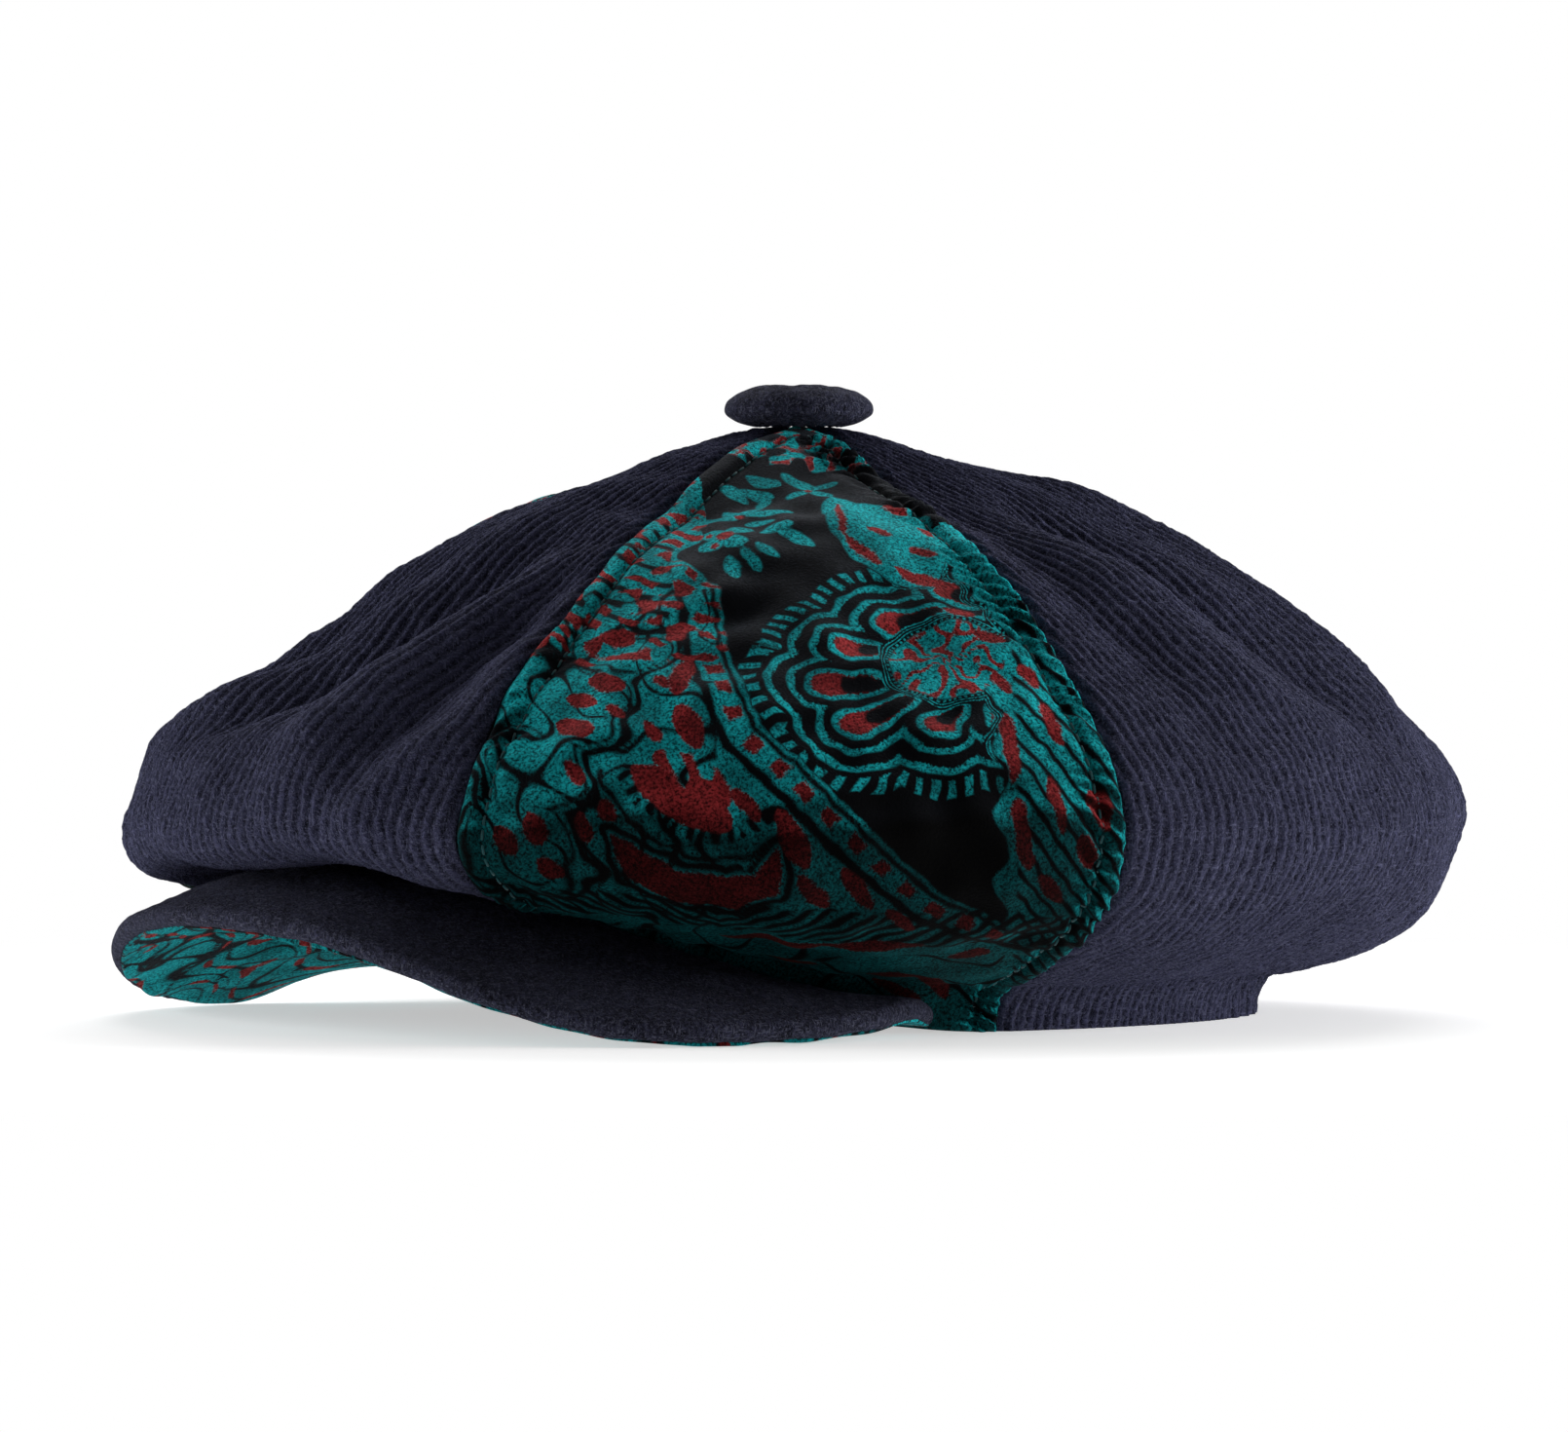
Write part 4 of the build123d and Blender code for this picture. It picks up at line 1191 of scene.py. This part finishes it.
def top_section(width):
    """Felt over the top of the visor and round its rim."""
    radius = 0.5 * VISOR_THICKNESS
    inner = radius - FELT_THICKNESS
    flat = np.linspace(-FELT_ROOT, width - radius, VISOR_ROWS)
    back = np.linspace(width - radius, -FELT_ROOT, BACK_ROWS)
    rim_along = width - radius + radius * np.cos(RIM_ARC)
    lip_along = (width - radius + inner * np.cos(RIM_ARC))[::-1]
    along = np.concatenate([flat[:-1], rim_along, lip_along, back[1:]])
    height = [np.full(VISOR_ROWS - 1, radius), radius * np.sin(RIM_ARC), inner * np.sin(RIM_ARC)[::-1]]
    return along, np.concatenate(height + [np.full(BACK_ROWS - 1, inner)])


def under_section(width):
    """Velvet under the visor, with a soft rolled edge just inside the felt rim."""
    radius = 0.5 * VISOR_THICKNESS
    roll = np.radians(np.linspace(-90.0, 90.0, 11))
    centre = width - radius + VELVET_PROUD
    low = -radius - VELVET_DROP
    top = low + VELVET_THICKNESS
    flat = np.linspace(-VELVET_ROLL, centre, VISOR_ROWS)
    root_rise = VELVET_DROP * (1.0 - smooth(flat, 0.0, 6.0))
    back = np.linspace(centre, -VELVET_ROLL, BACK_ROWS)
    along = np.concatenate([flat[:-1], centre + VELVET_ROLL * np.cos(roll), back[1:]])
    roll_height = low + VELVET_ROLL + VELVET_ROLL * np.sin(roll)
    return along, np.concatenate([low + root_rise[:-1], roll_height, np.full(BACK_ROWS - 1, top)])


def board_section(width):
    """Stiff board between the two covers, rounded at its rim."""
    radius = 0.5 * BOARD_THICKNESS
    turn = np.radians(np.linspace(90.0, -90.0, 9))
    centre = width - VISOR_PROUD - 0.5 * VISOR_THICKNESS - BOARD_GAP
    top = np.linspace(BOARD_START, centre, BOARD_ROWS)
    along = np.concatenate([top[:-1], centre + radius * np.cos(turn), top[::-1][1:]])
    sides = [np.full(BOARD_ROWS - 1, radius), radius * np.sin(turn), np.full(BOARD_ROWS - 1, -radius)]
    return along, np.concatenate(sides)


def visor_board(material):
    """Moulded board that stiffens the visor."""
    loops, _ = visor_loops(board_section, BOARD_SHARE)
    return swept_shell("visor_board_sheet", loops, material)


def visor_top_cover(material):
    """Felted top cover of the visor."""
    loops, _ = visor_loops(top_section)
    soft = 0.16 * waves(loops, 20.0, 51) + 0.05 * waves(loops, 3.0, 52)
    loops[..., 2] = np.maximum(loops[..., 2] + soft, FLOOR_CLEARANCE)
    return swept_shell("visor_top_felt", loops, material)


def visor_under_cover(material):
    """Printed velvet under the visor."""
    loops, share = visor_loops(under_section)
    wrinkle = 0.22 * waves(loops, 16.0, 53) * (1.0 - smooth(np.abs(share), 0.9, 1.0))[:, None]
    loops[..., 2] += wrinkle
    rim = visor_point(share, np.ones_like(share))
    run = np.concatenate([[0.0], np.cumsum(np.linalg.norm(np.diff(rim, axis=0), axis=1))])
    run -= run.mean()
    depth = np.linalg.norm(loops - loops[:, :1], axis=-1)
    grid = np.stack([run[:, None] + 0 * depth, depth], -1)
    flow = depth + 5.0 * waves(grid, 34.0, 54)
    lines = np.maximum(0.8 - repeat(flow, 7.5), stroke(7.0 * waves(grid, 30.0, 55), 0.9))
    dashes = np.maximum(np.abs(repeat(flow + 3.7, 15.0)) - 1.7, repeat(grid[..., 0], 9.0) - 2.6)
    numbers = {"teal": lines, "red": dashes, "petal": NO_PETAL + 0 * depth, "turn": 0 * depth}
    numbers = {label: values.ravel() for label, values in numbers.items()}
    loops[..., 2] = np.maximum(loops[..., 2], FLOOR_CLEARANCE)
    return swept_shell("visor_under_velvet", loops, material, numbers)


# ---- Button ----
BUTTON_RADIUS = BUTTON_HIGH[0]
BUTTON_TOP = BUTTON_HIGH[2]
BUTTON_RIM = 131.2
BUTTON_FOOT = 127.1
BUTTON_MOUTH = 9.0
FELT_SKIN = 0.9
BUTTON_AROUND = 192


def lathe(name, profile, around, material, shape=None):
    """Closed body turned about the vertical axis; the profile starts and ends on the axis."""
    azimuth = np.linspace(0.0, 2.0 * np.pi, around, endpoint=False)[None, :]
    radius = profile[1:-1, 0][:, None] + 0 * azimuth
    height = profile[1:-1, 1][:, None] + 0 * azimuth
    rings = to_points(azimuth, radius, height)
    if shape is not None:
        rings = shape(rings, azimuth)
    faces = capped_faces(len(rings), around)
    ends = np.array([[0.0, 0.0, profile[0, 1]], [0.0, 0.0, profile[-1, 1]]])
    return new_object(name, np.vstack([rings.reshape(-1, 3), ends]), faces, material, close=True)


def button_profile(inset, stations):
    """Half section of the button from its mouth round the rim to the top."""
    turn = np.linspace(-0.5 * np.pi, 0.5 * np.pi, stations)
    radius = (BUTTON_RADIUS - inset) * np.cos(turn) ** 0.72
    rise = np.where(turn > 0.0, BUTTON_TOP - inset - BUTTON_RIM, BUTTON_RIM - BUTTON_FOOT - inset)
    height = BUTTON_RIM + rise * np.sin(turn)
    kept = (turn > 0.0) | (radius > BUTTON_MOUTH)
    return np.stack([radius, height], -1)[kept]


def button_cover(material):
    """Felt stretched over the button and gathered underneath."""
    outside = button_profile(0.0, 88)
    inside = button_profile(FELT_SKIN, 56)[::-1]
    profile = np.vstack([inside, outside])
    profile[0, 0] = profile[-1, 0] = 0.0

    def shape(rings, azimuth):
        beneath = 1.0 - smooth(rings[..., 2], BUTTON_FOOT, BUTTON_RIM - 0.5)
        pleat = 0.18 * np.sin(22.0 * azimuth) * beneath
        fuzz = 0.07 * waves(rings, 3.0, 61) + 0.10 * waves(rings, 11.0, 62)
        rings[..., 2] += pleat + fuzz * (1.0 - beneath)
        return rings

    return lathe("button_felt", profile, BUTTON_AROUND, material, shape)


# ---- Topstitching ----
STITCH_LENGTH = 2.5
STITCH_PITCH = 3.1
STITCH_RADIUS = 0.24
STITCH_TURNS = 8
# Rings of one stitch: share of its length, share of its radius, depth in the cloth.
STITCH_RINGS = (
    (0.04, 0.6, 0.30),
    (0.16, 1.0, 0.05),
    (0.5, 1.05, -0.06),
    (0.84, 1.0, 0.05),
    (0.96, 0.6, 0.30),
)
STITCH_END_DEPTH = 0.35


def stitch_path(front, edge, side):
    """Points and normals down one edge of a velvet panel, along the stitch line."""
    normals = outward(front)
    middle = front.shape[1] // 2
    columns = np.arange(middle + 1) if side < 0 else np.arange(front.shape[1] - 1, middle - 1, -1)
    path, normal = [], []
    for row in range(8, front.shape[0] - 4):
        inset = edge[row, columns]
        if inset[-1] < WELT_WIDTH + 1.0:
            continue
        place = np.interp(WELT_WIDTH, inset, np.arange(len(columns)))
        low = int(place)
        share = place - low
        first, second = columns[low], columns[low + 1]
        path.append(front[row, first] * (1 - share) + front[row, second] * share)
        normal.append(normals[row, first] * (1 - share) + normals[row, second] * share)
    return np.array(path), np.array(normal)


def capsule(start, end, normal):
    """Rings and ends of one stitch, sunk at both ends."""
    along = (end - start) / np.linalg.norm(end - start)
    beside = np.cross(along, normal)
    turns = np.linspace(0.0, 2.0 * np.pi, STITCH_TURNS, endpoint=False)
    rings = []
    for share, size, sink in STITCH_RINGS:
        middle = start + (end - start) * share + normal * (STITCH_RADIUS * 0.5 - sink)
        circle = np.cos(turns)[:, None] * beside + np.sin(turns)[:, None] * normal
        rings.append(middle + circle * STITCH_RADIUS * size)
    tips = [start - normal * STITCH_END_DEPTH, end - normal * STITCH_END_DEPTH]
    return np.vstack([np.vstack(rings), tips])


def along_line(length, values, at):
    """Point or normal of a line at one distance along it."""
    return np.array([np.interp(at, length, values[:, axis]) for axis in range(3)])


def topstitching(centres, material):
    """Separate stitches along both edges of the velvet panels."""
    points, faces = [], []
    stitch_faces = capped_faces(len(STITCH_RINGS), STITCH_TURNS)
    for centre in centres:
        front, edge, _, _ = velvet_front(centre)
        for side in (-1, 1):
            path, normal = stitch_path(front, edge, side)
            steps = np.linalg.norm(np.diff(path, axis=0), axis=1)
            length = np.concatenate([[0.0], np.cumsum(steps)])
            for begin in np.arange(1.0, length[-1] - STITCH_PITCH, STITCH_PITCH):
                ends = [along_line(length, path, at) for at in (begin, begin + STITCH_LENGTH)]
                up = along_line(length, normal, begin + 0.5 * STITCH_LENGTH)
                base = sum(len(block) for block in points)
                points.append(capsule(*ends, up / np.linalg.norm(up)))
                faces += [[base + corner for corner in face] for face in stitch_faces]
    return new_object("topstitch_thread", np.vstack(points), faces, material, close=True)


# ---- Assembly ----
# Middle azimuth of each crown panel, in degrees.
PANELS = {
    "front": 0.0,
    "side_left": 60.0,
    "rear_left": 120.0,
    "rear": 180.0,
    "rear_right": -120.0,
    "side_right": -60.0,
}
# Words in the names of crown pieces that are parented to the crown's body; the other crown pieces are
# left without a parent.
REAR_PIECES = ("rear", "elastic", "label")
# Lowest painted-light factor on the velvet's colour and sheen tint: on the crown's side panels, and under
# the visor, whose underside is painted lighter throughout.
LEAST_PAINTED_LIGHT = 0.2
VISOR_PAINTED_LIGHT = 1.1


def place(piece, body, node, slot):
    """Sets what a piece rides on and hides the CAD node it stands for; the slot, its finish, is not used.
    """
    if body == "crown" and not any(word in piece.name for word in REAR_PIECES):
        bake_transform(piece)
    else:
        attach(piece, body)
    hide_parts(node)


def dress(node, material):
    """Gives a CAD node that stays visible its Blender material."""
    if not node.material_slots:
        node.data.materials.append(material)
    for slot in node.material_slots:
        slot.material = material


def build_cap():
    """Makes every cloth piece, sets what each rides on and dresses the CAD nodes that stay."""
    wool = ribbed_wool()
    felt = felted_wool()
    velvet = printed_velvet("printed_velvet", LEAST_PAINTED_LIGHT)
    satin = woven("lining_satin", rgb(0.030, 0.032, 0.045), rgb(0.010, 0.011, 0.016), 0.5, 0.38, 0.3)
    ribbon = woven("sweatband_tape", rgb(0.045, 0.048, 0.066), rgb(0.014, 0.015, 0.022), 0.9)
    cotton = woven("stay_cotton", rgb(0.74, 0.72, 0.67), rgb(0.50, 0.48, 0.44), 0.7, 0.9)
    knit = woven("elastic_webbing", rgb(0.055, 0.055, 0.062), rgb(0.012, 0.012, 0.015), 1.1)
    label = woven("label_satin", rgb(0.14, 0.15, 0.21), rgb(0.07, 0.075, 0.11), 0.5, 0.45, 0.3)
    teal_thread = thread("thread", rgb(0.020, 0.120, 0.130), rgb(0.006, 0.030, 0.034))
    board = moulded("visor_plastic", rgb(0.74, 0.74, 0.72), rgb(0.62, 0.62, 0.60))
    metal = pressed_metal()

    for name, centre_degrees in PANELS.items():
        centre = math.radians(centre_degrees)
        node = "crown_panel_" + name
        if name.startswith("side"):
            outer = velvet_panel("crown_cloth_" + name, centre, velvet, centre < 0.0)
            place(outer, "crown", node, "patterned_velvet")
        else:
            outer = wool_panel("crown_cloth_" + name, centre, wool)
            place(outer, "crown", node, "ribbed_wool")
        inner = lining_panel("lining_cloth_" + name, centre, satin)
        place(inner, "crown", "lining_panel_" + name, "lining_satin")
    place(sweatband(ribbon), "crown", "sweatband", "sweatband_tape")
    place(stay_tape(cotton), "crown", "stay_tape", "stay_cotton")
    place(rear_elastic(knit), "crown", "rear_elastic", "elastic_webbing")
    place(inner_label(label), "crown", "inner_label", "label_satin")
    stitched = [math.radians(PANELS[name]) for name in ("side_left", "side_right")]
    place(topstitching(stitched, teal_thread), "crown", "topstitching", "thread")
    place(visor_top_cover(felt), "visor", "visor_top_cover", "felted_wool")
    place(visor_board(board), "visor", "visor_board", "visor_plastic")
    facing = printed_velvet("visor_velvet", VISOR_PAINTED_LIGHT)
    place(visor_under_cover(facing), "visor", "visor_under_cover", "patterned_velvet")
    place(button_cover(felt), "button", "button_cover", "felted_wool")

    kept = {
        "crown_patch": satin,
        "button_core": metal,
        "button_back_plate": metal,
        "button_shank": teal_thread,
    }
    for node, material in kept.items():
        dress(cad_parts[node], material)


# ---- Stage ----
CAMERA_AZIMUTH = math.radians(59.5)
CAMERA_DISTANCE = 2.4
CAMERA_HEIGHT = 0.115
LENS = 254.3
SENSOR = 36.0
SHIFT_X = -0.0095
SHIFT_Y = -0.1476
FLOOR_RADIUS = 3.0
FLOOR_GLOW = 0.5
FLOOR_FADE = (0.10, 0.42)
# Strength of the surround behind the cap and in front of it, as the camera sees it.
WORLD_BEHIND = 0.50
WORLD_FRONT = 0.02
WORLD_SPAN = (-0.6, 0.7)
# Azimuth from the camera's own in degrees, distance, height, size, power and the height aimed at.
LIGHTS = {
    "top_light": (178.0, 1.15, 1.0, (1.1, 0.7), 14.0, 0.08),
    "left_light": (-98.0, 1.15, 0.22, (0.5, 0.8), 9.0, 0.06),
    "right_light": (88.0, 1.15, 0.20, (0.5, 0.8), 13.0, 0.06),
}


def camera():
    """Camera that sees the cap as the photo does."""
    data = bpy.data.cameras.new("view")
    data.lens = LENS
    data.sensor_width = SENSOR
    data.shift_x = SHIFT_X
    data.shift_y = SHIFT_Y
    data.clip_end = 20.0
    eye = bpy.data.objects.new("view", data)
    side, back = math.sin(CAMERA_AZIMUTH), -math.cos(CAMERA_AZIMUTH)
    eye.location = (CAMERA_DISTANCE * side, CAMERA_DISTANCE * back, CAMERA_HEIGHT)
    eye.rotation_euler = (math.radians(90.0), 0.0, CAMERA_AZIMUTH)
    bpy.context.collection.objects.link(eye)
    bpy.context.scene.camera = eye


def softbox(name, azimuth, distance, height, size, power, aim):
    """Rectangular area light that faces the cap; azimuth is measured from the camera's own."""
    data = bpy.data.lights.new(name, "AREA")
    data.shape = "RECTANGLE"
    data.size, data.size_y = size
    data.energy = power
    lamp = bpy.data.objects.new(name, data)
    turn = CAMERA_AZIMUTH + math.radians(azimuth)
    lamp.location = (distance * math.sin(turn), -distance * math.cos(turn), height)
    facing = Vector((0.0, 0.0, aim)) - lamp.location
    lamp.rotation_euler = facing.to_track_quat("-Z", "Y").to_euler()
    bpy.context.collection.objects.link(lamp)


def floor():
    """Pale floor that fades to the white of the background."""
    mesh = bpy.data.meshes.new("floor")
    turns = np.linspace(0.0, 2.0 * np.pi, 96, endpoint=False)
    rim = np.stack([FLOOR_RADIUS * np.cos(turns), FLOOR_RADIUS * np.sin(turns), 0 * turns], -1)
    mesh.from_pydata(rim.tolist(), [], [list(range(len(rim)))])
    ground = bpy.data.objects.new("floor", mesh)
    bpy.context.collection.objects.link(ground)
    n = Nodes("floor")
    n.surface.inputs["Base Color"].default_value = rgb(0.86, 0.86, 0.86)
    n.surface.inputs["Roughness"].default_value = 0.9
    n.surface.inputs["Specular IOR Level"].default_value = 0.0
    reach = n.node("VectorMath", Vector=n.place)
    reach.operation = "LENGTH"
    far = n.ramp(reach.outputs["Value"], *FLOOR_FADE)
    grain = n.noise(4.0, 2.0)
    n.put(n.surface.inputs["Base Color"], n.mix(grain, rgb(0.84, 0.84, 0.84), rgb(0.88, 0.88, 0.88)))
    n.surface.inputs["Emission Color"].default_value = rgb(1.0, 1.0, 1.0)
    n.surface.inputs["Emission Strength"].default_value = FLOOR_GLOW
    rays = n.tree.nodes.new("ShaderNodeLightPath")
    glow = n.tree.nodes.new("ShaderNodeEmission")
    mix = n.tree.nodes.new("ShaderNodeMixShader")
    n.put(mix.inputs[0], n.math("MULTIPLY", rays.outputs["Is Camera Ray"], far))
    n.tree.links.new(n.surface.outputs[0], mix.inputs[1])
    n.tree.links.new(glow.outputs[0], mix.inputs[2])
    n.tree.links.new(mix.outputs[0], n.tree.nodes["Material Output"].inputs["Surface"])
    mesh.materials.append(n.material)


def studio():
    """White surround that lights the cap from its far sides and above, and less from the front."""
    world = bpy.data.worlds.new("studio")
    bpy.context.scene.world = world
    world.use_nodes = True
    nodes, links = world.node_tree.nodes, world.node_tree.links
    back = nodes["Background"]
    place_node = nodes.new("ShaderNodeTexCoord")
    dot = nodes.new("ShaderNodeVectorMath")
    dot.operation = "DOT_PRODUCT"
    dot.inputs[1].default_value = (math.sin(CAMERA_AZIMUTH), -math.cos(CAMERA_AZIMUTH), 0.0)
    span = nodes.new("ShaderNodeMapRange")
    for socket, value in zip(span.inputs[1:5], (*WORLD_SPAN, WORLD_BEHIND, WORLD_FRONT)):
        socket.default_value = value
    rays = nodes.new("ShaderNodeLightPath")
    pick = nodes.new("ShaderNodeMix")
    pick.inputs[3].default_value = 1.0
    links.new(place_node.outputs["Generated"], dot.inputs[0])
    links.new(dot.outputs["Value"], span.inputs[0])
    links.new(rays.outputs["Is Camera Ray"], pick.inputs[0])
    links.new(span.outputs[0], pick.inputs[2])
    links.new(pick.outputs[0], back.inputs["Strength"])
    back.inputs["Color"].default_value = rgb(1.0, 1.0, 1.0)


def stage():
    """Camera, floor, surround and lights; none of it is part of the cap."""
    camera()
    floor()
    studio()
    for name, light in LIGHTS.items():
        softbox(name, *light)
    bpy.context.scene.view_settings.view_transform = "Standard"


build_cap()
stage()
